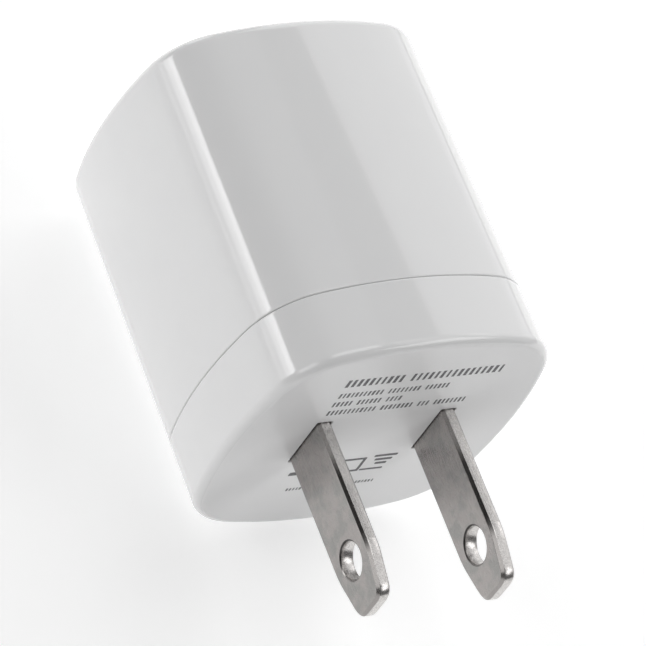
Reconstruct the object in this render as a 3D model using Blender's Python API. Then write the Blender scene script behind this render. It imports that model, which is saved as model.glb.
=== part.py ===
"""USB wall charger with two fixed flat blades.

The origin is the centre of the plug face, the flat face that meets the wall. +Y points into the
wall along the blades, +Z is up as the charger hangs in an outlet, and the USB port faces -Y.
Left and right are as seen by someone who faces the blades with +Z up, so left is +X.
"""

import math

import bmesh
import bpy
from mathutils import Vector

MM = 0.001

# Body: case and cap together, measured at the plug face
HALF_WIDTH = 15.0 * MM
HALF_HEIGHT = 14.83 * MM
SIDE_RADIUS = 38.7 * MM
TOP_RADIUS = 35.5 * MM
CORNER_RADIUS = 7.1 * MM
DRAFT = math.radians(0.77)
BODY_LENGTH = 34.5 * MM
SEAM_DEPTH = 6.92 * MM
SEAM_GAP = 0.2 * MM
PLUG_EDGE_RADIUS = 0.9 * MM
PORT_EDGE_RADIUS = 1.0 * MM

# Walls
WALL = 1.7 * MM
END_WALL = 1.8 * MM
PLATE = 2.2 * MM
MOUTH_WALL = 0.8 * MM
MOUTH_DEPTH = 3.3 * MM
LIP_OUTER = 1.05 * MM
LIP_INNER = 1.8 * MM
LIP_LENGTH = 2.9 * MM
INNER_FILLET = 0.8 * MM

# Blades, to the usual North American two-blade pattern
BLADE_SPACING = 12.7 * MM
BLADE_WIDTH = 6.35 * MM
BLADE_THICKNESS = 1.4 * MM
BLADE_REACH = 16.65 * MM
BLADE_TAIL = 8.6 * MM
BLADE_TAIL_WIDTH = 4.4 * MM
BLADE_BEVEL = 0.24 * MM
BLADE_HOLE_DEPTH = 11.9 * MM
BLADE_HOLE_RADIUS = 1.7 * MM
BLADE_HOLE_CHAMFER = 0.12 * MM

# Circuit board, which lies flat below the port's metal shell
BOARD_TOP = -3.2 * MM
BOARD_THICKNESS = 1.2 * MM
BOARD_BOTTOM = BOARD_TOP - BOARD_THICKNESS
BOARD_HALF_WIDTH = 12.2 * MM
BOARD_PORT_END = -32.4 * MM
BOARD_PLUG_END = -8.0 * MM
LEAD_END = BOARD_BOTTOM - 0.8 * MM

# USB-A receptacle
SHELL_HALF_WIDTH = 6.57 * MM
SHELL_HALF_HEIGHT = 2.86 * MM
SHELL_SHEET = 0.31 * MM
SHELL_MOUTH = -34.1 * MM
SHELL_BACK = -20.4 * MM
TONGUE_HALF_WIDTH = 5.55 * MM
TONGUE_BOTTOM = 0.02 * MM
TONGUE_TOP = 1.86 * MM
TONGUE_TIP = -33.0 * MM
CONTACT_OFFSETS = (-3.5 * MM, -1.0 * MM, 1.0 * MM, 3.5 * MM)
CONTACT_WIDTH = 1.0 * MM
CONTACT_SHEET = 0.25 * MM
CONTACT_LEVEL = -0.12 * MM
CONTACT_ROOT = -24.7 * MM
CONTACT_TAIL = -21.2 * MM

# Transformer: two facing E cores round a bobbin.
TRANSFORMER_X = 4.0 * MM
TRANSFORMER_Y = -14.3 * MM
CORE_HALF_WIDTH = 6.5 * MM
CORE_HALF_DEPTH = 3.0 * MM
CORE_BOTTOM = -2.4 * MM
CORE_HALF_RISE = 6.05 * MM
CORE_GAP = 0.1 * MM
YOKE = 1.6 * MM
OUTER_LEG = 1.5 * MM
CENTRE_LEG = 1.4 * MM

CLEARANCE = 0.2 * MM
ROUND_SIDES = 28

drilled_holes = []


def mm(*values):
    return Vector([value * MM for value in values])


# ---------------------------------------------------------------- building blocks


def clear_scene():
    for item in list(bpy.data.objects):
        bpy.data.objects.remove(item, do_unlink=True)


def finish(name, colour, roughness, metallic=0.0):
    material = bpy.data.materials.new(name)
    material.use_nodes = True
    shader = material.node_tree.nodes["Principled BSDF"]
    shader.inputs["Base Color"].default_value = (*colour, 1.0)
    shader.inputs["Roughness"].default_value = roughness
    shader.inputs["Metallic"].default_value = metallic
    material.diffuse_color = (*colour, 1.0)
    return material


def place(name, shape, material=None, location=(0, 0, 0), rotation=(0, 0, 0)):
    """Turn a bmesh into a named object under the charger's own empty."""
    mesh = bpy.data.meshes.new(name)
    shape.to_mesh(mesh)
    shape.free()
    part = bpy.data.objects.new(name, mesh)
    part.location = location
    part.rotation_euler = rotation
    part.parent = charger
    if material:
        mesh.materials.append(material)
    bpy.context.scene.collection.objects.link(part)
    return part


def smooth(part, sharp_above=35):
    part.data.shade_smooth()
    part.data.set_sharp_from_angle(angle=math.radians(sharp_above))
    return part


def combine(part, operation, shape):
    """Join a helper shape to a part, or cut it away, in the part's own coordinates."""
    helper = place(f"{part.name}_{operation.lower()}_{len(part.modifiers)}", shape)
    helper.parent = part
    helper.hide_render = True
    helper.display_type = "WIRE"
    step = part.modifiers.new(operation.title(), "BOOLEAN")
    step.operation = operation
    step.object = helper
    step.solver = "EXACT"


def loft(rings, closed=False):
    """Surface through rings of equal length, capped at both ends unless it closes on itself."""
    shape = bmesh.new()
    loops = [[shape.verts.new(point) for point in ring] for ring in rings]
    following = loops[1:] + loops[:1] if closed else loops[1:]
    for lower, upper in zip(loops, following):
        for i, corner in enumerate(lower):
            j = (i + 1) % len(lower)
            shape.faces.new((corner, lower[j], upper[j], upper[i]))
    if not closed:
        shape.faces.new(loops[0])
        shape.faces.new(loops[-1])
    bmesh.ops.recalc_face_normals(shape, faces=shape.faces)
    return shape


def merged(shapes):
    """Several shapes in one mesh, for helpers only."""
    whole = bmesh.new()
    for shape in shapes:
        piece = bpy.data.meshes.new("piece")
        shape.to_mesh(piece)
        shape.free()
        whole.from_mesh(piece)
        bpy.data.meshes.remove(piece)
    return whole


def box(low, high):
    corners = [(low.x, low.y), (high.x, low.y), (high.x, high.y), (low.x, high.y)]
    return loft([[Vector((x, y, z)) for x, y in corners] for z in (low.z, high.z)])


def bevelled_box(low, high, bevel):
    shape = box(low, high)
    bmesh.ops.bevel(shape, geom=list(shape.edges), offset=bevel, segments=1, affect="EDGES")
    return shape


def turned(profile, sides=ROUND_SIDES):
    """Solid of revolution about Z through (radius, height) pairs given from the bottom up."""
    angles = [2 * math.pi * i / sides for i in range(sides)]
    return loft(
        [[Vector((r * math.cos(a), r * math.sin(a), z)) for a in angles] for r, z in profile]
    )


def rounded_rectangle(half_u, half_v, radius, steps=3):
    outline = []
    for quarter, (u, v) in enumerate(((1, 1), (-1, 1), (-1, -1), (1, -1))):
        for step in range(steps + 1):
            angle = math.pi / 2 * (quarter + step / steps)
            outline.append(
                (
                    u * (half_u - radius) + radius * math.cos(angle),
                    v * (half_v - radius) + radius * math.sin(angle),
                )
            )
    return outline


def rounded_path(corners, radius, steps=4):
    """The corners of a path, each replaced by a smooth bend that starts and ends radius away."""
    corners = [Vector(corner) for corner in corners]
    path = [corners[0]]
    for before, corner, after in zip(corners, corners[1:], corners[2:]):
        enter = corner + (before - corner).normalized() * radius
        leave = corner + (after - corner).normalized() * radius
        for step in range(steps + 1):
            t = step / steps
            path.append(enter * (1 - t) ** 2 + corner * 2 * t * (1 - t) + leave * t**2)
    return path + [corners[-1]]


def flowing_path(knots, steps=6):
    """Smooth curve through the knots of a soft wire's route."""
    knots = [Vector(knot) for knot in knots]
    ends = [knots[0] * 2 - knots[1]] + knots + [knots[-1] * 2 - knots[-2]]
    path = []
    for before, start, end, after in zip(ends, ends[1:], ends[2:], ends[3:]):
        for step in range(steps):
            t = step / steps
            linear = (end - before) * t
            square = (before * 2 - start * 5 + end * 4 - after) * t**2
            cube = (start * 3 - before - end * 3 + after) * t**3
            path.append(start + (linear + square + cube) / 2)
    return path + [knots[-1]]


def swept(path, section, across):
    """A bar of the given section, (across, up) pairs, along a path of points."""
    path = [Vector(point) for point in path]
    across = Vector(across)
    rings = []
    for i, point in enumerate(path):
        tangent = (path[min(i + 1, len(path) - 1)] - path[max(i - 1, 0)]).normalized()
        across = (across - tangent * across.dot(tangent)).normalized()
        up = tangent.cross(across)
        rings.append([point + across * u + up * v for u, v in section])
    return loft(rings)


def wire(path, radius, sides=8):
    angles = [2 * math.pi * (i + 0.5) / sides for i in range(sides)]
    section = [(radius * math.cos(a), radius * math.sin(a)) for a in angles]
    first = (Vector(path[1]) - Vector(path[0])).normalized()
    return swept(path, section, first.orthogonal())


def strip(path, width, thickness, across):
    u, v = width / 2, thickness / 2
    return swept(path, [(-u, -v), (u, -v), (u, v), (-u, v)], across)


def drill(x, y, radius):
    drilled_holes.append((x, y, radius))


# ---------------------------------------------------------------- body outline


def arc(centre, radius, start, end, steps):
    return [
        (centre[0] + radius * math.cos(a), centre[1] + radius * math.sin(a))
        for a in (start + (end - start) * i / steps for i in range(steps + 1))
    ]


def corner_centre():
    """Centre of the corner arc, which touches both the top arc and the side arc from inside."""
    top = Vector((0, HALF_HEIGHT - TOP_RADIUS))
    side = Vector((HALF_WIDTH - SIDE_RADIUS, 0))
    top_reach = TOP_RADIUS - CORNER_RADIUS
    side_reach = SIDE_RADIUS - CORNER_RADIUS
    distance = (side - top).length
    direction = (side - top) / distance
    outward = Vector((direction.y, -direction.x))
    along = (top_reach**2 - side_reach**2 + distance**2) / (2 * distance)
    return top + direction * along + outward * math.sqrt(top_reach**2 - along**2)


def body_outline(drawn_in, steps=(5, 7, 5)):
    """Two pairs of shallow arcs joined by round corners, as (x, z) points, drawn in all round."""
    top = Vector((0, HALF_HEIGHT - TOP_RADIUS))
    side = Vector((HALF_WIDTH - SIDE_RADIUS, 0))
    centre = corner_centre()
    top_end = math.atan2(centre.y - top.y, centre.x)
    side_end = math.atan2(centre.y, centre.x - side.x)
    quadrant = arc(top, TOP_RADIUS - drawn_in, math.pi / 2, top_end, steps[0])
    quadrant += arc(centre, CORNER_RADIUS - drawn_in, top_end, side_end, steps[1])[1:]
    quadrant += arc(side, SIDE_RADIUS - drawn_in, side_end, 0, steps[2])[1:]
    half = quadrant + [(x, -z) for x, z in reversed(quadrant[:-1])]
    return half + [(-x, z) for x, z in reversed(half[1:-1])]


def body_ring(y, inset):
    drawn_in = inset - y * math.tan(DRAFT)
    return [Vector((x, y, z)) for x, z in body_outline(drawn_in)]


def rounded_end(end, outward, radius, steps=4):
    """Rings that round the body's outer edge over to a flat end face."""
    rings = []
    for step in range(steps + 1):
        angle = math.pi / 2 * step / steps
        back = radius * (1 - math.sin(angle))
        rings.append(body_ring(end - outward * back, radius * (1 - math.cos(angle))))
    return rings


# ---------------------------------------------------------------- case, cap and blades


def make_main_case():
    mouth = -SEAM_DEPTH - SEAM_GAP / 2
    floor = -BODY_LENGTH + END_WALL
    rings = [
        body_ring(floor, WALL + INNER_FILLET),
        body_ring(floor + INNER_FILLET, WALL),
        body_ring(mouth - MOUTH_DEPTH, WALL),
        body_ring(mouth - MOUTH_DEPTH, MOUTH_WALL),
        body_ring(mouth, MOUTH_WALL),
        body_ring(mouth, 0),
    ]
    rings += rounded_end(-BODY_LENGTH, -1, PORT_EDGE_RADIUS)
    case = place("main_case", loft(rings), white_plastic)
    combine(case, "UNION", merged(board_rails()))
    combine(case, "DIFFERENCE", port_opening())
    return smooth(case)


def board_rails():
    """Two ribs on each side wall, above and below the board, that guide its long edges."""
    inner = BOARD_HALF_WIDTH - 0.6 * MM
    outer = 13.6 * MM
    rib = 1.0 * MM
    slack = 0.25 * MM
    back = -BODY_LENGTH + END_WALL / 2
    front = -12.0 * MM
    rails = []
    for side in (-1, 1):
        x_low, x_high = sorted((side * inner, side * outer))
        for z_low in (BOARD_TOP + slack, BOARD_BOTTOM - slack - rib):
            low = Vector((x_low, back, z_low))
            high = Vector((x_high, front, z_low + rib))
            rails.append(box(low, high))
    return rails


def port_opening():
    """The slot round the port's shell, with a small chamfer at the outer face."""
    gap = 0.25 * MM
    chamfer = 0.35 * MM
    overshoot = 1.0 * MM
    stations = (
        (-BODY_LENGTH - overshoot, chamfer + overshoot),
        (-BODY_LENGTH + chamfer, 0),
        (-BODY_LENGTH + END_WALL + overshoot, 0),
    )
    rings = []
    for y, flare in stations:
        grown = gap + flare
        outline = rounded_rectangle(
            SHELL_HALF_WIDTH + grown, SHELL_HALF_HEIGHT + grown, 0.7 * MM + flare
        )
        rings.append([Vector((u, y, v)) for u, v in outline])
    return loft(rings)


def make_base_cap():
    rim = -SEAM_DEPTH + SEAM_GAP / 2
    lip_end = rim - LIP_LENGTH
    rings = [
        body_ring(-PLATE, LIP_INNER),
        body_ring(lip_end, LIP_INNER),
        body_ring(lip_end, LIP_OUTER),
        body_ring(rim, LIP_OUTER),
        body_ring(rim, 0),
    ]
    rings += rounded_end(0, 1, PLUG_EDGE_RADIUS)
    cap = place("base_cap", loft(rings), white_plastic)
    combine(cap, "UNION", merged(blade_sockets() + board_stops()))
    combine(cap, "DIFFERENCE", merged(blade_slots()))
    return smooth(cap)


def blade_sockets():
    """Square walls behind the plug plate that hold each blade upright."""
    wall = 1.1 * MM
    depth = 6.4 * MM
    half_x = BLADE_THICKNESS / 2 + CLEARANCE + wall
    half_z = BLADE_WIDTH / 2 + CLEARANCE + wall
    sockets = []
    for side in (-1, 1):
        x = side * BLADE_SPACING / 2
        low = Vector((x - half_x, -depth, -half_z))
        sockets.append(box(low, Vector((x + half_x, -PLATE / 2, half_z))))
    return sockets


def board_stops():
    """Two posts that the board's plug end rests against."""
    half_x = 1.0 * MM
    end = BOARD_PLUG_END + 0.25 * MM
    stops = []
    for x in (-9.9 * MM, 9.9 * MM):
        low = Vector((x - half_x, end, BOARD_BOTTOM - 0.6 * MM))
        stops.append(box(low, Vector((x + half_x, -PLATE / 2, BOARD_TOP + 0.6 * MM))))
    return stops


def blade_slots():
    slots = []
    half_x = BLADE_THICKNESS / 2 + CLEARANCE
    half_z = BLADE_WIDTH / 2 + CLEARANCE
    for side in (-1, 1):
        x = side * BLADE_SPACING / 2
        low = Vector((x - half_x, -10 * MM, -half_z))
        slots.append(box(low, Vector((x + half_x, 1 * MM, half_z))))
    return slots


def blade_outline():
    """Half outline of a blade as (y, half width): narrow tail, shoulder, long flank, tapered tip."""
    shoulder = -PLATE - 0.3 * MM
    return [
        (-BLADE_TAIL, BLADE_TAIL_WIDTH / 2 - 0.5 * MM),
        (-BLADE_TAIL + 0.5 * MM, BLADE_TAIL_WIDTH / 2),
        (shoulder, BLADE_TAIL_WIDTH / 2),
        (shoulder, BLADE_WIDTH / 2),
        (BLADE_REACH - 4.45 * MM, BLADE_WIDTH / 2),
        (BLADE_REACH - 3.9 * MM, BLADE_WIDTH / 2 - 0.05 * MM),
        (BLADE_REACH - 1.2 * MM, BLADE_WIDTH / 2 - 0.72 * MM),
        (BLADE_REACH - 0.75 * MM, BLADE_WIDTH / 2 - 0.98 * MM),
        (BLADE_REACH - 0.12 * MM, BLADE_WIDTH / 2 - 1.68 * MM),
        (BLADE_REACH, BLADE_WIDTH / 2 - 2.0 * MM),
    ]


def make_blade(name, x):
    """A flat blade whose long edges and tip are bevelled, with a hole near the tip."""
    half = blade_outline()
    outline = half + [(y, -z) for y, z in reversed(half)]
    half_x = BLADE_THICKNESS / 2
    shape = loft([[Vector((x_face, y, z)) for y, z in outline] for x_face in (-half_x, half_x)])
    rims = [
        edge
        for edge in shape.edges
        if abs(edge.verts[0].co.x - edge.verts[1].co.x) < half_x
    ]
    bmesh.ops.bevel(shape, geom=rims, offset=BLADE_BEVEL, segments=1, affect="EDGES")
    blade = place(name, shape, nickel, location=(x, 0, 0))
    combine(blade, "DIFFERENCE", merged([blade_hole(), tail_hole()]))
    return blade


def blade_hole():
    """Cutter along X, flared where it meets each broad face."""
    half_x = BLADE_THICKNESS / 2
    overshoot = 0.5 * MM
    flared = BLADE_HOLE_RADIUS + BLADE_HOLE_CHAMFER + overshoot
    stations = (
        (-half_x - overshoot, flared),
        (-half_x + BLADE_HOLE_CHAMFER, BLADE_HOLE_RADIUS),
        (half_x - BLADE_HOLE_CHAMFER, BLADE_HOLE_RADIUS),
        (half_x + overshoot, flared),
    )
    return cross_hole(BLADE_HOLE_DEPTH, stations, 40)


def tail_hole():
    """The small hole that takes the soldered lead."""
    return cross_hole(1.2 * MM - BLADE_TAIL, ((-1 * MM, 0.55 * MM), (1 * MM, 0.55 * MM)), 12)


def cross_hole(y, stations, sides):
    angles = [2 * math.pi * i / sides for i in range(sides)]
    return loft(
        [[Vector((x, y + r * math.cos(a), r * math.sin(a))) for a in angles] for x, r in stations]
    )


# ---------------------------------------------------------------- USB receptacle


def make_usb_shell():
    """Folded metal tube with four grip springs and four legs that pass through the board."""
    outer = rounded_rectangle(SHELL_HALF_WIDTH, SHELL_HALF_HEIGHT, 0.6 * MM)
    inner = rounded_rectangle(
        SHELL_HALF_WIDTH - SHELL_SHEET, SHELL_HALF_HEIGHT - SHELL_SHEET, 0.3 * MM
    )
    rings = [
        [Vector((u, y, v)) for u, v in outline]
        for y, outline in (
            (SHELL_MOUTH, outer),
            (SHELL_BACK, outer),
            (SHELL_BACK, inner),
            (SHELL_MOUTH, inner),
        )
    ]
    shell = place("usb_shell", loft(rings, closed=True), bright_tin)
    combine(shell, "DIFFERENCE", merged(grip_windows() + [tail_window()]))
    combine(shell, "UNION", merged(grip_springs() + shell_legs()))
    return shell


def grip_windows():
    windows = []
    for x in (-3.1 * MM, 3.1 * MM):
        for side in (-1, 1):
            z_low, z_high = sorted((side * 2.0 * MM, side * 3.4 * MM))
            low = Vector((x - 1.25 * MM, -32.6 * MM, z_low))
            windows.append(box(low, Vector((x + 1.25 * MM, -26.2 * MM, z_high))))
    return windows


def tail_window():
    """Opening at the back of the shell's floor, where the contact tails go down."""
    low = Vector((-5.2 * MM, -22.2 * MM, -3.4 * MM))
    return box(low, Vector((5.2 * MM, -19.5 * MM, -2.0 * MM)))


def grip_springs():
    """Tongues of the sheet that lean inward and curl out again at their tips."""
    sheet_level = SHELL_HALF_HEIGHT - SHELL_SHEET / 2
    springs = []
    for x in (-3.1 * MM, 3.1 * MM):
        for side in (-1, 1):
            path = [
                (x, -25.9 * MM, side * sheet_level),
                (x, -26.6 * MM, side * sheet_level),
                (x, -31.0 * MM, side * (sheet_level - 0.35 * MM)),
                (x, -32.1 * MM, side * (sheet_level - 0.05 * MM)),
            ]
            springs.append(strip(path, 1.9 * MM, SHELL_SHEET - 0.02 * MM, (1, 0, 0)))
    return springs


def shell_legs():
    legs = []
    for side in (-1, 1):
        for y in (-30.6 * MM, -23.4 * MM):
            x = side * (SHELL_HALF_WIDTH - SHELL_SHEET / 2)
            half_x = SHELL_SHEET / 2 - 0.01 * MM
            half_y = 0.6 * MM
            low = Vector((x - half_x, y - half_y, LEAD_END))
            legs.append(box(low, Vector((x + half_x, y + half_y, 0))))
            drill(x, y, 0.9 * MM)
    return legs


def make_usb_insulator():
    """Plastic block at the back of the shell and the tongue that carries the contacts."""
    gap = 0.15 * MM
    half_x = SHELL_HALF_WIDTH - SHELL_SHEET - gap
    half_z = SHELL_HALF_HEIGHT - SHELL_SHEET - gap
    low = Vector((-half_x, -25.6 * MM, -half_z))
    block = box(low, Vector((half_x, -21.7 * MM, half_z)))
    insulator = place("usb_insulator", block, black_plastic)
    tongue = bevelled_box(
        Vector((-TONGUE_HALF_WIDTH, TONGUE_TIP, TONGUE_BOTTOM)),
        Vector((TONGUE_HALF_WIDTH, -24.5 * MM, TONGUE_TOP)),
        0.25 * MM,
    )
    combine(insulator, "UNION", tongue)
    combine(insulator, "DIFFERENCE", merged(contact_channels()))
    return insulator


def contact_channels():
    """Through channels in the block, which run on as grooves in the tongue's underside."""
    half_x = CONTACT_WIDTH / 2 + CLEARANCE
    channels = []
    for x in CONTACT_OFFSETS:
        low = Vector((x - half_x, -32.6 * MM, CONTACT_LEVEL - 0.35 * MM))
        channels.append(box(low, Vector((x + half_x, -20.0 * MM, 0.95 * MM))))
    return channels


def make_contacts():
    """Each contact is a fixed root with its board tail, and the sprung beam ahead of it."""
    for number, x in enumerate(CONTACT_OFFSETS, start=1):
        path = rounded_path(
            [
                (x, CONTACT_ROOT + 0.15 * MM, CONTACT_LEVEL),
                (x, CONTACT_TAIL, CONTACT_LEVEL),
                (x, CONTACT_TAIL, LEAD_END),
            ],
            0.5 * MM,
        )
        root = strip(path, CONTACT_WIDTH, CONTACT_SHEET, (1, 0, 0))
        place(f"usb_contact_{number}", root, gold)
        drill(x, CONTACT_TAIL, 0.75 * MM)
        make_contact_spring(number, x)


def make_contact_spring(number, x):
    """The free beam, with its origin on the bend line where it leaves the root."""
    beam = strip(
        rounded_path(
            [
                mm(0, 0, 0),
                mm(0, -1.2, 0),
                mm(0, -5.6, -0.58),
                mm(0, -7.2, -0.12),
            ],
            0.6 * MM,
        ),
        CONTACT_WIDTH,
        CONTACT_SHEET,
        (1, 0, 0),
    )
    name = f"usb_contact_spring_{number}"
    place(name, beam, gold, location=(x, CONTACT_ROOT, CONTACT_LEVEL))


# ---------------------------------------------------------------- board and its parts


def make_main_board():
    low = Vector((-BOARD_HALF_WIDTH, BOARD_PORT_END, BOARD_BOTTOM))
    high = Vector((BOARD_HALF_WIDTH, BOARD_PLUG_END, BOARD_TOP))
    board = place("main_board", box(low, high), board_green)
    cutters = []
    for x, y, radius in drilled_holes:
        angles = [2 * math.pi * i / 10 for i in range(10)]
        rings = [
            [Vector((x + radius * math.cos(a), y + radius * math.sin(a), z)) for a in angles]
            for z in (BOARD_BOTTOM - 1 * MM, BOARD_TOP + 1 * MM)
        ]
        cutters.append(loft(rings))
    combine(board, "DIFFERENCE", merged(cutters))


def capacitor_can(radius, length):
    """Electrolytic can standing on z = 0, with the crimp groove near its open end."""
    edge = 0.35 * MM
    return turned(
        [
            (radius - edge, 0),
            (radius, edge),
            (radius, 1.3 * MM),
            (radius - 0.3 * MM, 1.7 * MM),
            (radius, 2.1 * MM),
            (radius, length - edge),
            (radius - edge, length),
        ]
    )


def make_upright_capacitor(name, x, y, radius, length, material):
    base = BOARD_TOP + 0.3 * MM
    can = place(name, capacitor_can(radius, length), material, location=(x, y, base))
    pitch = 1.75 * MM
    leads = []
    for side in (-1, 1):
        foot = Vector((side * pitch, 0, LEAD_END - base))
        leads.append(wire([foot, Vector((side * pitch, 0, 0.5 * MM))], 0.3 * MM))
        drill(x + side * pitch, y, 0.5 * MM)
    combine(can, "UNION", merged(leads))
    smooth(can)


def make_lying_capacitor(name, x, z, radius, length, material):
    """A can along Y above the port's shell, its leads bent down to the board behind the shell."""
    lead_line = -20.0 * MM
    open_end = -20.9 * MM
    can = place(
        name,
        capacitor_can(radius, length),
        material,
        location=(x, open_end, z),
        rotation=(math.pi / 2, 0, 0),
    )
    pitch = 1.25 * MM
    leads = []
    for side in (-1, 1):
        drop = z - LEAD_END
        run = lead_line - open_end
        path = [
            Vector((side * pitch, 0, 0.5 * MM)),
            Vector((side * pitch, 0, -run)),
            Vector((side * pitch, -drop, -run)),
        ]
        leads.append(wire(rounded_path(path, 0.5 * MM), 0.3 * MM))
        drill(x + side * pitch, lead_line, 0.5 * MM)
    combine(can, "UNION", merged(leads))
    smooth(can)


def make_axial_part(name, centre, radius, body_length, lead_span, waist, material):
    """A cylinder along Y with a lead at each end bent down through the board."""
    half = body_length / 2
    bulge = body_length / 6
    profile = [
        (radius - 0.25 * MM, -half),
        (radius, -half + 0.25 * MM),
        (radius, -half + bulge),
        (radius - waist, -half + bulge + 0.4 * MM),
        (radius - waist, half - bulge - 0.4 * MM),
        (radius, half - bulge),
        (radius, half - 0.25 * MM),
        (radius - 0.25 * MM, half),
    ]
    part = place(
        name, turned(profile, 20), material, location=centre, rotation=(math.pi / 2, 0, 0)
    )
    leads = []
    for side in (-1, 1):
        end = side * lead_span / 2
        path = [
            Vector((0, 0, side * (half - 0.4 * MM))),
            Vector((0, 0, end)),
            Vector((0, LEAD_END - centre.z, end)),
        ]
        leads.append(wire(rounded_path(path, 0.5 * MM), 0.28 * MM))
        drill(centre.x, centre.y - end, 0.5 * MM)
    combine(part, "UNION", merged(leads))
    smooth(part)


def make_filter_choke(x, y):
    """Ferrite drum on two leads, with its copper coil in the waist."""
    base = BOARD_TOP + 0.3 * MM
    rim = 2.15 * MM
    waist = 1.0 * MM
    drum = place(
        "filter_choke_core",
        turned([(rim, 0), (rim, 1.0 * MM), (waist, 1.0 * MM), (waist, 4.8 * MM)]
               + [(rim, 4.8 * MM), (rim, 5.7 * MM)]),
        ferrite,
        location=(x, y, base),
    )
    leads = []
    for side in (-1, 1):
        pin = side * 1.25 * MM
        foot = Vector((pin, 0, LEAD_END - base))
        leads.append(wire([foot, Vector((pin, 0, 0.5 * MM))], 0.3 * MM))
        drill(x + pin, y, 0.5 * MM)
    combine(drum, "UNION", merged(leads))
    smooth(drum)
    gap = 0.15 * MM
    coil_low, coil_high = 1.0 * MM + gap, 4.8 * MM - gap
    coil = ring_solid((waist + gap, 1.9 * MM), (coil_low, coil_high))
    smooth(place("filter_choke_winding", coil, copper, location=(x, y, base)))


def ring_solid(radii, heights, sides=ROUND_SIDES):
    inner, outer = radii
    low, high = heights
    angles = [2 * math.pi * i / sides for i in range(sides)]
    rings = [
        [Vector((r * math.cos(a), r * math.sin(a), z)) for a in angles]
        for r, z in ((outer, low), (outer, high), (inner, high), (inner, low))
    ]
    return loft(rings, closed=True)


def make_y_capacitor(x, y, z):
    """Blue ceramic disc standing across the board, on two straight leads."""
    radius = 2.8 * MM
    half = 1.25 * MM
    disc = turned(
        [
            (radius - 0.7 * MM, -half),
            (radius, -half + 0.7 * MM),
            (radius, half - 0.7 * MM),
            (radius - 0.7 * MM, half),
        ]
    )
    part = place(
        "y_capacitor", disc, blue_ceramic, location=(x, y, z), rotation=(0, math.pi / 2, 0)
    )
    leads = []
    for side in (-1, 1):
        across = side * 2.0 * MM
        path = [Vector((0.5 * MM, across, 0)), Vector((z - LEAD_END, across, 0))]
        leads.append(wire(path, 0.28 * MM))
        drill(x, y + across, 0.5 * MM)
    combine(part, "UNION", merged(leads))
    smooth(part)


# ---------------------------------------------------------------- transformer


def make_core_half(name, base, rise):
    """E-shaped ferrite: a yoke with two outer legs and a centre leg that rise (or hang) from it."""
    up = 1 if rise > 0 else -1
    yoke = up * YOKE
    outline = [
        (-CORE_HALF_WIDTH, 0),
        (CORE_HALF_WIDTH, 0),
        (CORE_HALF_WIDTH, rise),
        (CORE_HALF_WIDTH - OUTER_LEG, rise),
        (CORE_HALF_WIDTH - OUTER_LEG, yoke),
        (CENTRE_LEG, yoke),
        (CENTRE_LEG, rise),
        (-CENTRE_LEG, rise),
        (-CENTRE_LEG, yoke),
        (OUTER_LEG - CORE_HALF_WIDTH, yoke),
        (OUTER_LEG - CORE_HALF_WIDTH, rise),
        (-CORE_HALF_WIDTH, rise),
    ]
    rings = [
        [Vector((x, y, z)) for x, z in outline] for y in (-CORE_HALF_DEPTH, CORE_HALF_DEPTH)
    ]
    place(name, loft(rings), ferrite, location=(TRANSFORMER_X, TRANSFORMER_Y, base))


def window_ring(half_x, half_y, radius, z):
    return [Vector((u, v, z)) for u, v in rounded_rectangle(half_x, half_y, radius, 4)]


def make_transformer():
    top = CORE_BOTTOM + 2 * CORE_HALF_RISE + CORE_GAP
    make_core_half("transformer_core_lower", CORE_BOTTOM, CORE_HALF_RISE)
    make_core_half("transformer_core_upper", top, -CORE_HALF_RISE)
    window_low = CORE_BOTTOM + YOKE
    window_high = top - YOKE
    make_bobbin(window_low, window_high)
    make_winding(window_low, window_high)
    make_core_tape(top)


def make_bobbin(window_low, window_high):
    """Spool round the centre leg, with a pin rail on each side of the lower yoke."""
    bore = (CENTRE_LEG + CLEARANCE, CORE_HALF_DEPTH + CLEARANCE)
    tube = (bore[0] + 0.5 * MM, bore[1] + 0.5 * MM)
    flange = (4.6 * MM, 5.0 * MM)
    low = window_low + CLEARANCE
    high = window_high - CLEARANCE
    thick = 0.5 * MM
    rings = [
        window_ring(*flange, 0.4 * MM, low),
        window_ring(*flange, 0.4 * MM, low + thick),
        window_ring(*tube, 0.3 * MM, low + thick),
        window_ring(*tube, 0.3 * MM, high - thick),
        window_ring(*flange, 0.4 * MM, high - thick),
        window_ring(*flange, 0.4 * MM, high),
        window_ring(*bore, 0.1 * MM, high),
        window_ring(*bore, 0.1 * MM, low),
    ]
    spot = (TRANSFORMER_X, TRANSFORMER_Y, 0)
    bobbin = place("transformer_bobbin", loft(rings, closed=True), black_plastic, location=spot)
    rail_low = BOARD_TOP + 0.3 * MM
    rail_inner = CORE_HALF_DEPTH + 0.3 * MM
    shapes = []
    for side in (-1, 1):
        y_low, y_high = sorted((side * rail_inner, side * flange[1]))
        corner = Vector((-flange[0], y_low, rail_low))
        shapes.append(box(corner, Vector((flange[0], y_high, low + thick / 2))))
    combine(bobbin, "UNION", merged(shapes))
    pins = []
    for side in (-1, 1):
        for column in (-1, 0, 1):
            x, y = column * 3.4 * MM, side * 4.2 * MM
            pins.append(wire([(x, y, LEAD_END), (x, y, rail_low + 0.6 * MM)], 0.3 * MM))
            drill(TRANSFORMER_X + x, TRANSFORMER_Y + y, 0.5 * MM)
    combine(bobbin, "UNION", merged(pins))


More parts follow.
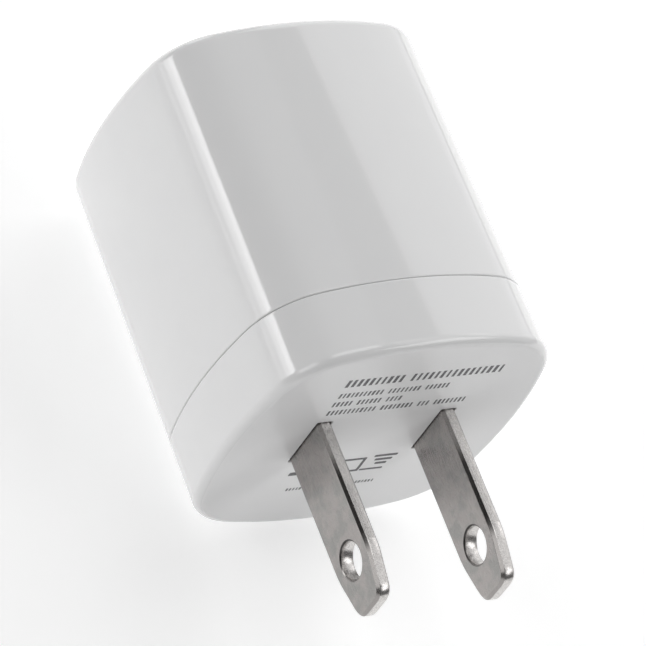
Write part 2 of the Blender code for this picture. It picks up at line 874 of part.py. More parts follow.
def make_winding(window_low, window_high):
    low = window_low + 2 * CLEARANCE + 0.5 * MM
    high = window_high - 2 * CLEARANCE - 0.5 * MM
    inner = (CENTRE_LEG + 0.9 * MM, CORE_HALF_DEPTH + 0.9 * MM, 0.3 * MM)
    outer = (4.45 * MM, 4.85 * MM, 1.6 * MM)
    edge = (outer[0] - 0.2 * MM, outer[1] - 0.2 * MM, outer[2] - 0.2 * MM)
    rings = [
        window_ring(*edge, low),
        window_ring(*outer, low + 0.3 * MM),
        window_ring(*outer, high - 0.3 * MM),
        window_ring(*edge, high),
        window_ring(*inner, high),
        window_ring(*inner, low),
    ]
    spot = (TRANSFORMER_X, TRANSFORMER_Y, 0)
    smooth(place("transformer_winding", loft(rings, closed=True), yellow_tape, location=spot))


def make_core_tape(top):
    """Band of tape round both core halves that clamps them together."""
    gap = 0.1 * MM
    sheet = 0.15 * MM
    half_y = 2.4 * MM
    half_x = CORE_HALF_WIDTH + gap
    half_z = (top - CORE_BOTTOM) / 2 + gap
    inner = rounded_rectangle(half_x, half_z, 0.05 * MM)
    outer = rounded_rectangle(half_x + sheet, half_z + sheet, 0.25 * MM)
    rings = [
        [Vector((u, y, v)) for u, v in outline]
        for y, outline in ((-half_y, outer), (half_y, outer), (half_y, inner), (-half_y, inner))
    ]
    spot = (TRANSFORMER_X, TRANSFORMER_Y, (top + CORE_BOTTOM) / 2)
    place("transformer_tape", loft(rings, closed=True), yellow_tape, location=spot)


# ---------------------------------------------------------------- parts under the board


def make_legged_chip(name, spot, size, legs_a_side, pitch, leg_width, span):
    """Moulded chip hung under the board, with gull-wing legs along its two X sides."""
    half_x, half_y, depth = size.x / 2, size.y / 2, size.z
    stand_off = 0.2 * MM
    body = bevelled_box(
        Vector((-half_x, -half_y, -stand_off - depth)),
        Vector((half_x, half_y, -stand_off)),
        0.15 * MM,
    )
    chip = place(name, body, black_plastic, location=(spot.x, spot.y, BOARD_BOTTOM))
    sheet = 0.2 * MM
    foot_level = -0.1 * MM - sheet / 2
    shapes = []
    for side in (-1, 1):
        for index in range(legs_a_side):
            leg_y = (index - (legs_a_side - 1) / 2) * pitch
            path = [
                (side * (half_x - 0.4 * MM), leg_y, -stand_off - depth / 2),
                (side * (half_x + 0.35 * MM), leg_y, -stand_off - depth / 2),
                (side * (half_x + 0.5 * MM), leg_y, foot_level),
                (side * span / 2, leg_y, foot_level),
            ]
            shapes.append(strip(path, leg_width, sheet, (0, 1, 0)))
    combine(chip, "UNION", merged(shapes))


def make_chip_part(name, x, y, size, material, turned_by=0.0):
    """Plain surface-mount block whose soldered end caps stand a little proud."""
    half_x, half_y, depth = size[0] / 2, size[1] / 2, size[2]
    top = -0.1 * MM
    block = bevelled_box(
        Vector((-half_x, -half_y, top - depth)), Vector((half_x, half_y, top)), 0.06 * MM
    )
    part = place(name, block, material, location=(x, y, BOARD_BOTTOM), rotation=(0, 0, turned_by))
    proud = 0.05 * MM
    caps = []
    for side in (-1, 1):
        x_low, x_high = sorted((side * (half_x - 0.4 * MM), side * (half_x + proud)))
        low = Vector((x_low, -half_y - proud, top - depth - proud))
        caps.append(box(low, Vector((x_high, half_y + proud, top + proud))))
    combine(part, "UNION", merged(caps))


def make_small_parts():
    resistor = (2.0 * MM, 1.25 * MM, 0.5 * MM)
    ceramic = (2.0 * MM, 1.25 * MM, 0.9 * MM)
    quarter = math.pi / 2
    resistor_spots = (
        (-3.6, -26.2, 0),
        (-3.6, -28.2, 0),
        (0.2, -26.2, 0),
        (0.2, -28.2, 0),
        (9.6, -14.4, quarter),
        (9.6, -17.8, quarter),
    )
    for number, (x, y, angle) in enumerate(resistor_spots, start=1):
        make_chip_part(f"resistor_{number}", x * MM, y * MM, resistor, black_plastic, angle)
    ceramic_spots = ((3.8, -26.2, 0), (3.8, -28.2, 0), (-10.4, -16.6, quarter))
    for number, (x, y, angle) in enumerate(ceramic_spots, start=1):
        name = f"ceramic_capacitor_{number}"
        make_chip_part(name, x * MM, y * MM, ceramic, tan_ceramic, angle)
    diode = (4.3 * MM, 2.6 * MM, 2.1 * MM)
    make_chip_part("snubber_diode", -9.3 * MM, -27.3 * MM, diode, black_plastic, quarter)


# ---------------------------------------------------------------- leads


def make_leads():
    """Soft wires from the blade tails, soldered on one side to the board or to the resistor."""
    thick = 0.55 * MM
    tail_y = 1.2 * MM - BLADE_TAIL
    face = BLADE_SPACING / 2 - BLADE_THICKNESS / 2 - CLEARANCE
    neutral = flowing_path(
        [
            Vector((-face, tail_y, 0)),
            mm(-4.0, -7.5, -0.1),
            mm(-2.8, -8.2, -0.9),
            mm(-2.5, -9.0, BOARD_TOP / MM + 0.25),
        ]
    )
    place("neutral_lead", wire(neutral, thick), blue_jacket)
    live = flowing_path(
        [
            Vector((face, tail_y, 0)),
            mm(4.2, -7.3, 0.3),
            mm(3.2, -7.1, 2.3),
            mm(4.0, -6.9, 4.8),
            mm(6.4, -6.3, 6.3),
            mm(7.4, -5.4, 7.8),
            mm(6.6, -5.0, 8.4),
            mm(5.6, -5.0, 8.4),
        ]
    )
    place("live_lead", wire(live, thick), red_jacket)


def make_fuse_resistor():
    """Fusible resistor lying behind the plug plate, its far lead bent down to the board."""
    radius = 1.5 * MM
    half = 3.9 * MM
    centre = mm(0.4, -5.0, 8.4)
    profile = [
        (radius - 0.3 * MM, -half),
        (radius, -half + 0.3 * MM),
        (radius, -half + 1.3 * MM),
        (radius - 0.2 * MM, -half + 1.7 * MM),
        (radius - 0.2 * MM, half - 1.7 * MM),
        (radius, half - 1.3 * MM),
        (radius, half - 0.3 * MM),
        (radius - 0.3 * MM, half),
    ]
    part = place("fuse_resistor", turned(profile, 20), green_ceramic, location=centre)
    part.rotation_euler = (0, math.pi / 2, 0)
    # In the part's own frame +Z is world +X and -X is world +Z.
    near = [mm(0, 0, 3.6), mm(0, 0, 5.0)]
    drop_to = (centre.z - LEAD_END) / MM
    far = [
        mm(0, 0, -3.6),
        mm(0, 0, -4.9),
        mm(2.0, -3.5, -4.9),
        mm(drop_to, -3.5, -4.9),
    ]
    leads = [wire(near, 0.3 * MM), wire(rounded_path(far, 0.5 * MM), 0.3 * MM)]
    drill(centre.x - 4.9 * MM, centre.y - 3.5 * MM, 0.5 * MM)
    combine(part, "UNION", merged(leads))
    smooth(part)


# ---------------------------------------------------------------- assembly

clear_scene()
charger = bpy.data.objects.new("charger", None)
bpy.context.scene.collection.objects.link(charger)

white_plastic = finish("white_plastic", (0.86, 0.86, 0.86), 0.22)
nickel = finish("nickel", (0.62, 0.60, 0.58), 0.28, 1.0)
bright_tin = finish("bright_tin", (0.72, 0.72, 0.73), 0.3, 1.0)
gold = finish("gold", (0.85, 0.64, 0.26), 0.25, 1.0)
black_plastic = finish("black_plastic", (0.03, 0.03, 0.03), 0.45)
board_green = finish("board_green", (0.05, 0.22, 0.10), 0.4)
capacitor_black = finish("capacitor_black", (0.04, 0.045, 0.06), 0.35)
capacitor_green = finish("capacitor_green", (0.06, 0.22, 0.20), 0.35)
ferrite = finish("ferrite", (0.09, 0.09, 0.09), 0.6)
copper = finish("copper", (0.72, 0.34, 0.16), 0.35, 1.0)
yellow_tape = finish("yellow_tape", (0.85, 0.62, 0.08), 0.4)
blue_ceramic = finish("blue_ceramic", (0.08, 0.25, 0.60), 0.4)
tan_ceramic = finish("tan_ceramic", (0.55, 0.42, 0.28), 0.5)
green_ceramic = finish("green_ceramic", (0.25, 0.42, 0.30), 0.5)
red_jacket = finish("red_jacket", (0.60, 0.05, 0.04), 0.45)
blue_jacket = finish("blue_jacket", (0.05, 0.10, 0.45), 0.45)

make_main_case()
make_base_cap()
make_blade("blade_left", BLADE_SPACING / 2)
make_blade("blade_right", -BLADE_SPACING / 2)
make_usb_shell()
make_usb_insulator()
make_contacts()
make_transformer()
make_upright_capacitor(
    "input_capacitor_1",
    x=-7.2 * MM,
    y=-14.0 * MM,
    radius=4.0 * MM,
    length=12.0 * MM,
    material=capacitor_black,
)
for name, x, sleeve in (
    ("input_capacitor_2", 4.6 * MM, capacitor_black),
    ("output_capacitor", -4.6 * MM, capacitor_green),
):
    make_lying_capacitor(
        name, x=x, z=7.4 * MM, radius=4.0 * MM, length=11.4 * MM, material=sleeve
    )
make_filter_choke(x=-9.0 * MM, y=-21.0 * MM)
make_y_capacitor(x=9.5 * MM, y=-21.4 * MM, z=0.3 * MM)
make_axial_part(
    "output_diode",
    centre=mm(9.2, -28.2, -1.5),
    radius=1.35 * MM,
    body_length=4.6 * MM,
    lead_span=6.2 * MM,
    waist=0,
    material=black_plastic,
)
make_axial_part(
    "bleeder_resistor",
    centre=mm(-9.2, -27.3, -1.7),
    radius=1.15 * MM,
    body_length=5.0 * MM,
    lead_span=6.8 * MM,
    waist=0.18 * MM,
    material=tan_ceramic,
)
make_legged_chip(
    "bridge_rectifier",
    spot=mm(-7.2, -11.4),
    size=mm(4.7, 3.9, 2.4),
    legs_a_side=2,
    pitch=2.54 * MM,
    leg_width=0.6 * MM,
    span=6.8 * MM,
)
make_legged_chip(
    "controller_ic",
    spot=mm(-6.0, -17.0),
    size=mm(3.9, 4.9, 1.5),
    legs_a_side=4,
    pitch=1.27 * MM,
    leg_width=0.42 * MM,
    span=6.0 * MM,
)
make_legged_chip(
    "optocoupler",
    spot=mm(3.0, -14.3),
    size=mm(6.4, 4.4, 3.3),
    legs_a_side=2,
    pitch=2.54 * MM,
    leg_width=0.5 * MM,
    span=9.4 * MM,
)
make_small_parts()
make_leads()
make_fuse_resistor()
make_main_board()
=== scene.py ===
"""USB wall charger: the finished looks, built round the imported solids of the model.

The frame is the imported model's own, in metres. The origin is the centre of the plug face, +Y points
into the wall along the blades, +Z is up as the charger hangs in an outlet, and the port faces -Y.
"""

import math
from functools import partialmethod

import bmesh
import bpy
from mathutils import Matrix, Vector
from mathutils.geometry import delaunay_2d_cdt


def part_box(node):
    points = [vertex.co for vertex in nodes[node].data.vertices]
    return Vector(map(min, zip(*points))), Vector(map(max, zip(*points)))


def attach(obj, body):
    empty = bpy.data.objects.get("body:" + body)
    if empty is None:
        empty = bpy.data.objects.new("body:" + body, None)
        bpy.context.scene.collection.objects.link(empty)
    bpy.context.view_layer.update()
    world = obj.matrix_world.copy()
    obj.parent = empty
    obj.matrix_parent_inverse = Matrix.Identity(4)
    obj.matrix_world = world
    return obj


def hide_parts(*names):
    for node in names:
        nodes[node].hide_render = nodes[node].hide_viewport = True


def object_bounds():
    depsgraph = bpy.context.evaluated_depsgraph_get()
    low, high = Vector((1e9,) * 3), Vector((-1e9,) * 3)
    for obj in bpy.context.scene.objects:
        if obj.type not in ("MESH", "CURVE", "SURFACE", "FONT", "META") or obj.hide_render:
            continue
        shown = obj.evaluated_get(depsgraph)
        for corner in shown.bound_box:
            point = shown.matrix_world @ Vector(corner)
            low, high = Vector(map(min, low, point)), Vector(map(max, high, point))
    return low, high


MM = 0.001

# Body outline, measured at the plug face
HALF_WIDTH = 15.0 * MM
HALF_HEIGHT = 14.83 * MM
SIDE_RADIUS = 38.7 * MM
TOP_RADIUS = 35.5 * MM
CORNER_RADIUS = 7.1 * MM
DRAFT = math.radians(0.77)
BODY_LENGTH = 34.5 * MM
SEAM_DEPTH = 6.92 * MM
SEAM_GAP = 0.06 * MM
PLUG_EDGE_RADIUS = 0.9 * MM
PORT_EDGE_RADIUS = 1.0 * MM
RIM_RADIUS = 0.12 * MM

# Walls
WALL = 1.7 * MM
END_WALL = 1.8 * MM
PLATE = 2.2 * MM
MOUTH_WALL = 0.8 * MM
MOUTH_DEPTH = 3.3 * MM
LIP_OUTER = 1.05 * MM
LIP_INNER = 1.8 * MM
LIP_LENGTH = 2.9 * MM
INNER_FILLET = 0.8 * MM
CAP_FILLET = 0.5 * MM
EASE = 0.06 * MM

# Blades
BLADE_SPACING = 12.7 * MM
BLADE_WIDTH = 6.35 * MM
BLADE_THICKNESS = 1.4 * MM
BLADE_REACH = 16.65 * MM
BLADE_TAIL = 8.6 * MM
BLADE_TAIL_WIDTH = 4.4 * MM
BLADE_BEVEL = 0.3 * MM
BLADE_HOLE_DEPTH = 11.9 * MM
BLADE_HOLE_RADIUS = 1.7 * MM

# Board
BOARD_TOP = -3.2 * MM
BOARD_BOTTOM = -4.4 * MM
BOARD_HALF_WIDTH = 12.2 * MM

# Receptacle
SHELL_HALF_WIDTH = 6.57 * MM
SHELL_HALF_HEIGHT = 2.86 * MM
SHELL_SHEET = 0.31 * MM
SHELL_MOUTH = -34.1 * MM
SHELL_BACK = -20.4 * MM
CONTACTS = (-3.5, -1.0, 1.0, 3.5)  # places along x, in millimetres


def mm(*values):
    return Vector([value * MM for value in values])


# ---- node sheets


class Value:
    """One output of a node. Arithmetic on it adds Math nodes to the same sheet."""

    def __init__(self, sheet, socket):
        self.sheet = sheet
        self.socket = socket

    def other(self, name):
        """Another output of the node that this one comes from."""
        return Value(self.sheet, self.socket.node.outputs[name])

    def math(self, operation, *others):
        inputs = dict(enumerate((self, *others)))
        return self.sheet.node("ShaderNodeMath", inputs, {"operation": operation})

    __add__ = __radd__ = partialmethod(math, "ADD")
    __sub__ = partialmethod(math, "SUBTRACT")
    __mul__ = __rmul__ = partialmethod(math, "MULTIPLY")
    __truediv__ = partialmethod(math, "DIVIDE")
    __pow__ = partialmethod(math, "POWER")
    __mod__ = partialmethod(math, "FLOORED_MODULO")
    __lt__ = partialmethod(math, "LESS_THAN")
    __gt__ = partialmethod(math, "GREATER_THAN")
    __abs__ = partialmethod(math, "ABSOLUTE")

    def __rsub__(self, other):
        return self * -1 + other

    def band(self, low, high):
        """1 between two values, 0 outside."""
        return (self > low) * (self < high)

    def ease(self, low, high, start=0.0, end=1.0):
        """Smooth rise from start to end as this value goes from low to high."""
        ends = {"From Min": low, "From Max": high, "To Min": start, "To Max": end}
        smooth = {"interpolation_type": "SMOOTHSTEP"}
        return self.sheet.node("ShaderNodeMapRange", {"Value": self, **ends}, smooth)


class Sheet:
    """A node tree that is written one node at a time."""

    def __init__(self, tree):
        self.tree = tree

    def node(self, kind, sockets=None, settings=None, output=0):
        made = self.tree.nodes.new(kind)
        for setting, value in (settings or {}).items():
            setattr(made, setting, value)
        for name, value in (sockets or {}).items():
            self.fill(made.inputs[name], value)
        return Value(self, made.outputs[output]) if made.outputs else None

    def fill(self, socket, value):
        if isinstance(value, Value):
            self.tree.links.new(value.socket, socket)
        elif isinstance(value, (list, tuple)) and socket.type == "RGBA":
            socket.default_value = (*value, 1.0)
        else:
            socket.default_value = value

    def mix(self, share, first, second):
        """Colour that goes from first to second as share goes from 0 to 1."""
        sockets = {0: share, 6: first, 7: second}
        return self.node("ShaderNodeMix", sockets, {"data_type": "RGBA"}, output=2)


class Finish(Sheet):
    """A material on one Principled shader, whose sockets take constants or varying values."""

    def __init__(self, name, **constants):
        self.material = bpy.data.materials.new(name)
        self.material.use_nodes = True
        super().__init__(self.material.node_tree)
        self.shader = self.tree.nodes["Principled BSDF"]
        for socket, value in constants.items():
            self.set(socket.replace("_", " "), value)

    def set(self, socket, value):
        self.fill(self.shader.inputs[socket], value)
        return self

    def colour(self, share, first, second):
        return self.set("Base Color", self.mix(share, first, second))

    def rough(self, value):
        return self.set("Roughness", value)

    def spot(self, stretch=(1, 1, 1), turned=(0, 0, 0)):
        """Place on the piece, in metres, stretched or turned for a pattern."""
        where = self.node("ShaderNodeTexCoord", output="Object")
        sockets = {"Vector": where, "Scale": stretch, "Rotation": turned}
        return self.node("ShaderNodeMapping", sockets)

    def axes(self):
        """The x, y and z of the place, in millimetres."""
        parts = self.node("ShaderNodeSeparateXYZ", {0: self.spot()})
        return tuple(parts.other(axis) * 1000 for axis in "XYZ")

    def noise(self, size, detail=2.0, **placing):
        """Cloudy pattern between 0 and 1 whose blotches are about this size, in metres."""
        sockets = {"Vector": self.spot(**placing), "Scale": 1 / size, "Detail": detail}
        return self.node("ShaderNodeTexNoise", sockets)

    def cells(self, size):
        """Distance from the middle of the nearest of many cells of about this size."""
        return self.node("ShaderNodeTexVoronoi", {"Vector": self.spot(), "Scale": 1 / size})

    def relief(self, height, depth):
        """Surface that rises by depth where height is 1."""
        bump = self.node("ShaderNodeBump", {"Height": height, "Distance": depth, "Strength": 1.0})
        return self.set("Normal", bump)


# ---- shape helpers


def set_aside(name, shape):
    """A bmesh as an object in the scene."""
    mesh = bpy.data.meshes.new(name)
    shape.to_mesh(mesh)
    shape.free()
    made = bpy.data.objects.new(name, mesh)
    bpy.context.scene.collection.objects.link(made)
    return made


def discard(*objects):
    for item in objects:
        bpy.data.objects.remove(item, do_unlink=True)


def settled(host, helpers=()):
    """The object with its modifiers made real and its helpers gone."""
    bpy.context.view_layer.update()
    graph = bpy.context.evaluated_depsgraph_get()
    host.data = bpy.data.meshes.new_from_object(host.evaluated_get(graph), depsgraph=graph)
    host.modifiers.clear()
    discard(*helpers)
    return host


def carved(name, shape, steps):
    """A shape after a run of joins and cuts, each given as (operation, bmesh)."""
    host = set_aside(name, shape)
    helpers = []
    for operation, tool in steps:
        helper = set_aside(f"{name}_tool", tool)
        helpers.append(helper)
        step = host.modifiers.new(operation.title(), "BOOLEAN")
        step.operation = operation
        step.object = helper
        step.solver = "EXACT"
    return settled(host, helpers)


def merged(shapes):
    whole = bmesh.new()
    for shape in shapes:
        piece = bpy.data.meshes.new("piece")
        shape.to_mesh(piece)
        shape.free()
        whole.from_mesh(piece)
        bpy.data.meshes.remove(piece)
    return whole


def join(shape, lower, upper):
    """Four-sided faces between two rings of corners."""
    for i, corner in enumerate(lower):
        j = (i + 1) % len(lower)
        shape.faces.new((corner, lower[j], upper[j], upper[i]))


def loft(rings, closed=False):
    """Surface through rings of equal length, capped at both ends unless it closes on itself."""
    shape = bmesh.new()
    loops = [[shape.verts.new(point) for point in ring] for ring in rings]
    for lower, upper in zip(loops, loops[1:] + loops[:1] if closed else loops[1:]):
        join(shape, lower, upper)
    if not closed:
        shape.faces.new(loops[0])
        shape.faces.new(loops[-1])
    bmesh.ops.recalc_face_normals(shape, faces=shape.faces)
    return shape


def box(*spans):
    """A box between two values on each axis, which come in either order."""
    (x0, x1), (y0, y1), (z0, z1) = (sorted(span) for span in spans)
    corners = [(x0, y0), (x1, y0), (x1, y1), (x0, y1)]
    return loft([[(x, y, z) for x, y in corners] for z in (z0, z1)])


def mm_box(*spans):
    return box(*((start * MM, end * MM) for start, end in spans))


def eased(shape, radius, steps):
    """A shape with all its edges rounded."""
    edges = list(shape.edges)
    bmesh.ops.bevel(shape, geom=edges, offset=radius, segments=steps, affect="EDGES", profile=0.5)
    return shape


def arc(centre, radius, start, end, steps):
    return [
        (centre[0] + radius * math.cos(a), centre[1] + radius * math.sin(a))
        for a in (start + (end - start) * i / steps for i in range(steps + 1))
    ]


def circle(centre, radius, sides=64):
    return arc(centre, radius, 0, 2 * math.pi, sides)[:-1]


def rounded_rectangle(half_u, half_v, radius, steps=6):
    outline = []
    for quarter, (u, v) in enumerate(((1, 1), (-1, 1), (-1, -1), (1, -1))):
        centre = (u * (half_u - radius), v * (half_v - radius))
        start = math.pi / 2 * quarter
        outline += arc(centre, radius, start, start + math.pi / 2, steps)
    return outline


def ring_at(y, outline, x=0.0):
    """An outline of (x, z) pairs as a ring of points at one depth."""
    return [(x + u, y, v) for u, v in outline]


def rounded_path(corners, radii, steps=6):
    """A path whose corners are smooth bends, each of which starts and ends its radius away."""
    path = [corners[0]]
    for before, corner, after, radius in zip(corners, corners[1:], corners[2:], radii):
        enter = corner + (before - corner).normalized() * radius
        leave = corner + (after - corner).normalized() * radius
        for step in range(steps + 1):
            t = step / steps
            path.append(enter * (1 - t) ** 2 + corner * 2 * t * (1 - t) + leave * t**2)
    return path + [corners[-1]]


def soft_strip(path, width, thickness):
    """Sheet-metal strip with eased edges along a path that runs across the x axis."""
    section = rounded_rectangle(width / 2, thickness / 2, thickness * 0.22, 2)
    across = Vector((1, 0, 0))
    rings = []
    for i, point in enumerate(path):
        tangent = (path[min(i + 1, len(path) - 1)] - path[max(i - 1, 0)]).normalized()
        up = tangent.cross(across)
        rings.append([point + across * u + up * v for u, v in section])
    return loft(rings)


def smoothed(piece, sharp_above=32):
    """Smooth shading in which large flat faces stay flat right up to their eased edges."""
    piece.data.shade_smooth()
    piece.data.set_sharp_from_angle(angle=math.radians(sharp_above))
    piece.modifiers.new("Even shading", "WEIGHTED_NORMAL").keep_sharp = True
    return settled(piece)


def finished(piece, finish, body="charger", replaces=(), sharp_above=32):
    """Gives a piece its finish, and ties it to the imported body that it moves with."""
    piece.data.materials.clear()
    piece.data.materials.append(finish.material)
    smoothed(piece, sharp_above)
    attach(piece, body)
    if replaces:
        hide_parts(*replaces)
    return piece


# ---- node patterns


class Pattern(Sheet):
    """A Geometry Nodes tree with named inputs. Underscores stand for spaces in sockets' names."""

    def __init__(self, name, **inputs):
        super().__init__(bpy.data.node_groups.new(name, "GeometryNodeTree"))
        for label, kind in {"Geometry": "Geometry", **inputs}.items():
            self.socket(label, "INPUT", kind)
        self.socket("Geometry", "OUTPUT", "Geometry")
        self.entry = self.node("NodeGroupInput")

    def socket(self, label, way, kind):
        label = label.replace("_", " ")
        self.tree.interface.new_socket(label, in_out=way, socket_type=f"NodeSocket{kind}")

    def input(self, label):
        return self.entry.other(label)

    def add(self, kind, settings=None, output=0, **sockets):
        """One geometry step."""
        named = {label.replace("_", " "): value for label, value in sockets.items()}
        return self.node(f"GeometryNode{kind}", named, settings, output)

    def copies(self, instance, **sockets):
        """One instance on each point of the start shape."""
        points = self.add("MeshToPoints", Mesh=self.input("Geometry"))
        return self.add("InstanceOnPoints", Points=points, Instance=instance, **sockets)

    def deliver(self, geometry):
        """Ends the tree: instances made real, then the material."""
        real = self.node("GeometryNodeRealizeInstances", {0: geometry})
        coated = self.add("SetMaterial", Geometry=real, Material=self.input("Material"))
        self.node("NodeGroupOutput", {0: coated})
        return self.tree


def grown(name, start, tree, **inputs):
    """The plain mesh that a node tree makes from a start shape, as an object."""
    host = set_aside(name, start)
    modifier = host.modifiers.new("Pattern", "NODES")
    modifier.node_group = tree
    for item in tree.interface.items_tree:
        label = item.name.replace(" ", "_")
        if item.item_type == "SOCKET" and item.in_out == "INPUT" and label in inputs:
            modifier[item.identifier] = inputs[label]
    return settled(host)


def line_of(points, closed=False):
    """Points joined by edges, as a start shape or a section."""
    shape = bmesh.new()
    verts = [shape.verts.new(point) for point in points]
    for first, second in zip(verts, verts[1:] + verts[:1] if closed else verts[1:]):
        shape.edges.new((first, second))
    return shape


def loose_points(points):
    shape = bmesh.new()
    for point in points:
        shape.verts.new(point)
    return shape


def wall_pattern():
    """A wall: one section carried round an outline. Local z is depth below the plug face."""
    tree = Pattern("Wall round an outline", Section="Object", Material="Material")
    outline = tree.add("MeshToCurve", Mesh=tree.input("Geometry"))
    level = tree.add("SetCurveNormal", {"mode": "Z_UP"}, Curve=outline)
    original = {"transform_space": "ORIGINAL"}
    section = tree.add("ObjectInfo", original, "Geometry", Object=tree.input("Section"))
    profile = tree.add("MeshToCurve", Mesh=section)
    wall = tree.add("CurveToMesh", Curve=level, Profile_Curve=profile)
    return tree.deliver(tree.add("Transform", Geometry=wall, Rotation=(math.pi / 2, 0, 0)))


def coil_pattern():
    """Turns of wire wound side by side round a drum."""
    sizes = dict.fromkeys(("Turns", "Height", "Coil_Radius", "Wire_Radius"), "Float")
    tree = Pattern("Coil", **sizes, Base="Vector", Material="Material")
    radius = tree.input("Coil Radius")
    ends = {"Start_Radius": radius, "End_Radius": radius, "Height": tree.input("Height")}
    spiral = tree.add("CurveSpiral", Resolution=28, Rotations=tree.input("Turns"), **ends)
    ring = tree.add("CurvePrimitiveCircle", Resolution=8, Radius=tree.input("Wire Radius"))
    wound = tree.add("CurveToMesh", Curve=spiral, Profile_Curve=ring, Fill_Caps=True)
    return tree.deliver(tree.add("Transform", Geometry=wound, Translation=tree.input("Base")))


def dash_pattern():
    """Dashes of uneven length set on points, one to a point."""
    sizes = dict.fromkeys(("Length", "Height", "Ink"), "Float")
    tree = Pattern("Printed dashes", **sizes, Seed="Int", Material="Material")
    spans = {axis: tree.input(label) for axis, label in enumerate(("Length", "Ink", "Height"))}
    dash = tree.add("MeshCube", Size=tree.node("ShaderNodeCombineXYZ", spans))
    limits = {2: 0.62, 3: 1.0, "Seed": tree.input("Seed")}
    share = tree.node("FunctionNodeRandomValue", limits, {"data_type": "FLOAT"}, output=1)
    scale = tree.node("ShaderNodeCombineXYZ", {0: share, 1: 1.0, 2: 1.0})
    return tree.deliver(tree.copies(dash, Scale=scale))


def solder_pattern():
    """A fillet of solder round each lead where it passes through the board."""
    sizes = dict.fromkeys(("Foot_Radius", "Lead_Radius", "Rise"), "Float")
    tree = Pattern("Solder fillets", **sizes, Material="Material")
    foot, lead, rise = (tree.input(label) for label in ("Foot Radius", "Lead Radius", "Rise"))
    cone = tree.add("MeshCone", Vertices=14, Radius_Bottom=foot, Radius_Top=lead, Depth=rise)
    hanging = tree.add("Transform", Geometry=cone, Rotation=(math.pi, 0, 0))
    return tree.deliver(tree.copies(hanging))


# ---- finishes


def lighter(colour, gain, lift=0.0):
    return tuple(channel * gain + lift for channel in colour)


def moulded_white():
    """Glossy white moulding: a faint flow ripple, polish haze and a few hairline rubs."""
    gloss = 0.7
    finish = Finish(
        "white_moulding", IOR=1.5, Coat_Weight=gloss, Coat_Roughness=0.07, Coat_IOR=1.5
    )
    haze = finish.noise(4 * MM, 3)
    rubs = finish.noise(0.5 * MM, 4, stretch=(1, 0.06, 1), turned=(0, 0, 0.4))
    finish.colour(haze, (0.86, 0.86, 0.865), (0.885, 0.885, 0.885))
    _, y, _ = finish.axes()
    plug_face = y.ease(-0.1, -0.01)
    finish.rough(0.09 + haze * 0.06 + rubs.ease(0.62, 0.8) * 0.08 + plug_face * 0.22)
    finish.set("Coat Weight", gloss - plug_face * 0.6)
    ripple = finish.noise(3 * MM, 2) * 0.8 + finish.noise(0.25 * MM, 2) * 0.05
    return finish.relief(ripple, 0.006 * MM)


def nickel():
    """Nickel plate over brass, coloured by the way each face points: rolled broad faces painted
    darker as painted shade, sheared flanks painted brighter as a painted highlight, and a painted
    dark reflection on the corner chamfers along the middle of the blade.
    """
    finish = Finish("nickel_plate", Metallic=1.0)
    draw = finish.noise(0.045 * MM, 3, stretch=(1, 0.05, 1))
    stain = finish.noise(1.6 * MM, 3)
    grain = finish.noise(0.12 * MM, 2)
    _, y, _ = finish.axes()
    facing = finish.node("ShaderNodeTexCoord", output="Normal")
    sideways = abs(finish.node("ShaderNodeSeparateXYZ", {0: facing}).other("X"))
    # Painted dark reflection: a band from 2.5 to 13 mm along the blade in which the corner chamfers
    # are painted near black.
    painted_dark_band = y.ease(2.5, 5.5) * y.ease(10.5, 13, 1.0, 0.0)
    # Broad faces: stain mottle in a colour painted darker, as painted shade beside the flanks.
    rolled = finish.mix(stain.ease(0.42, 0.62), (0.40, 0.375, 0.365), (0.33, 0.325, 0.315))
    drawn = finish.mix(draw.ease(0.3, 0.8) * 0.3, rolled, (0.55, 0.53, 0.52))
    # Corner chamfers: near-black painted reflection inside the band, a plain darker tone outside it.
    corner = finish.mix(painted_dark_band, (0.34, 0.325, 0.315), (0.06, 0.057, 0.055))
    # Flanks: grain in a colour painted brighter, as a painted highlight.
    painted_flank_highlight = finish.mix(grain.ease(0.35, 0.65), (0.7, 0.68, 0.665), (0.52, 0.5, 0.49))
    # Colour picked by the way each face points: painted highlight on the flanks, painted dark
    # reflection on the chamfers, painted shade on the broad faces.
    edges = finish.mix(sideways.ease(0.25, 0.5), painted_flank_highlight, corner)
    finish.colour(sideways.ease(0.85, 0.97), edges, drawn)
    finish.rough(0.17 + draw * 0.13 + grain * 0.06)
    return finish.relief(draw * 0.7 + grain * 0.3, 0.004 * MM)


def bright_tin():
    """Tinned sheet, bright, with rolling lines and a soft mottle."""
    finish = Finish("tinned_sheet", Metallic=1.0)
    mottle = finish.noise(0.8 * MM, 3)
    rolled = finish.noise(0.05 * MM, 2, stretch=(1, 0.04, 1))
    finish.colour(mottle, (0.72, 0.72, 0.73), (0.86, 0.86, 0.86))
    finish.rough(0.2 + rolled * 0.14 + mottle * 0.06)
    return finish.relief(rolled, 0.003 * MM)


def gold():
    """Gold flash over nickel, thin on the rubbed crown of each contact."""
    finish = Finish("gold_flash", Metallic=1.0)
    wear = finish.noise(0.3 * MM, 3)
    finish.colour(wear.ease(0.55, 0.75), (0.86, 0.62, 0.24), (0.72, 0.63, 0.42))
    finish.rough(0.16 + wear * 0.16)
    return finish.relief(wear, 0.002 * MM)


def dark_moulding(name):
    """Filled plastic with a fine spark-eroded grain."""
    black, rough = (0.028, 0.028, 0.03), 0.42
    finish = Finish(name)
    grain = finish.noise(0.12 * MM, 3)
    finish.colour(finish.noise(2 * MM, 2), black, lighter(black, 1.7, 0.012))
    finish.rough(rough + grain * 0.2 - 0.1)
    return finish.relief(grain, 0.012 * MM)


def tinned_leads(finish, body, is_lead):
    """Turns part of a finish into tinned metal: body is its colour, is_lead the share of metal."""
    finish.colour(is_lead, body, (0.62, 0.62, 0.62))
    return finish.set("Metallic", is_lead)


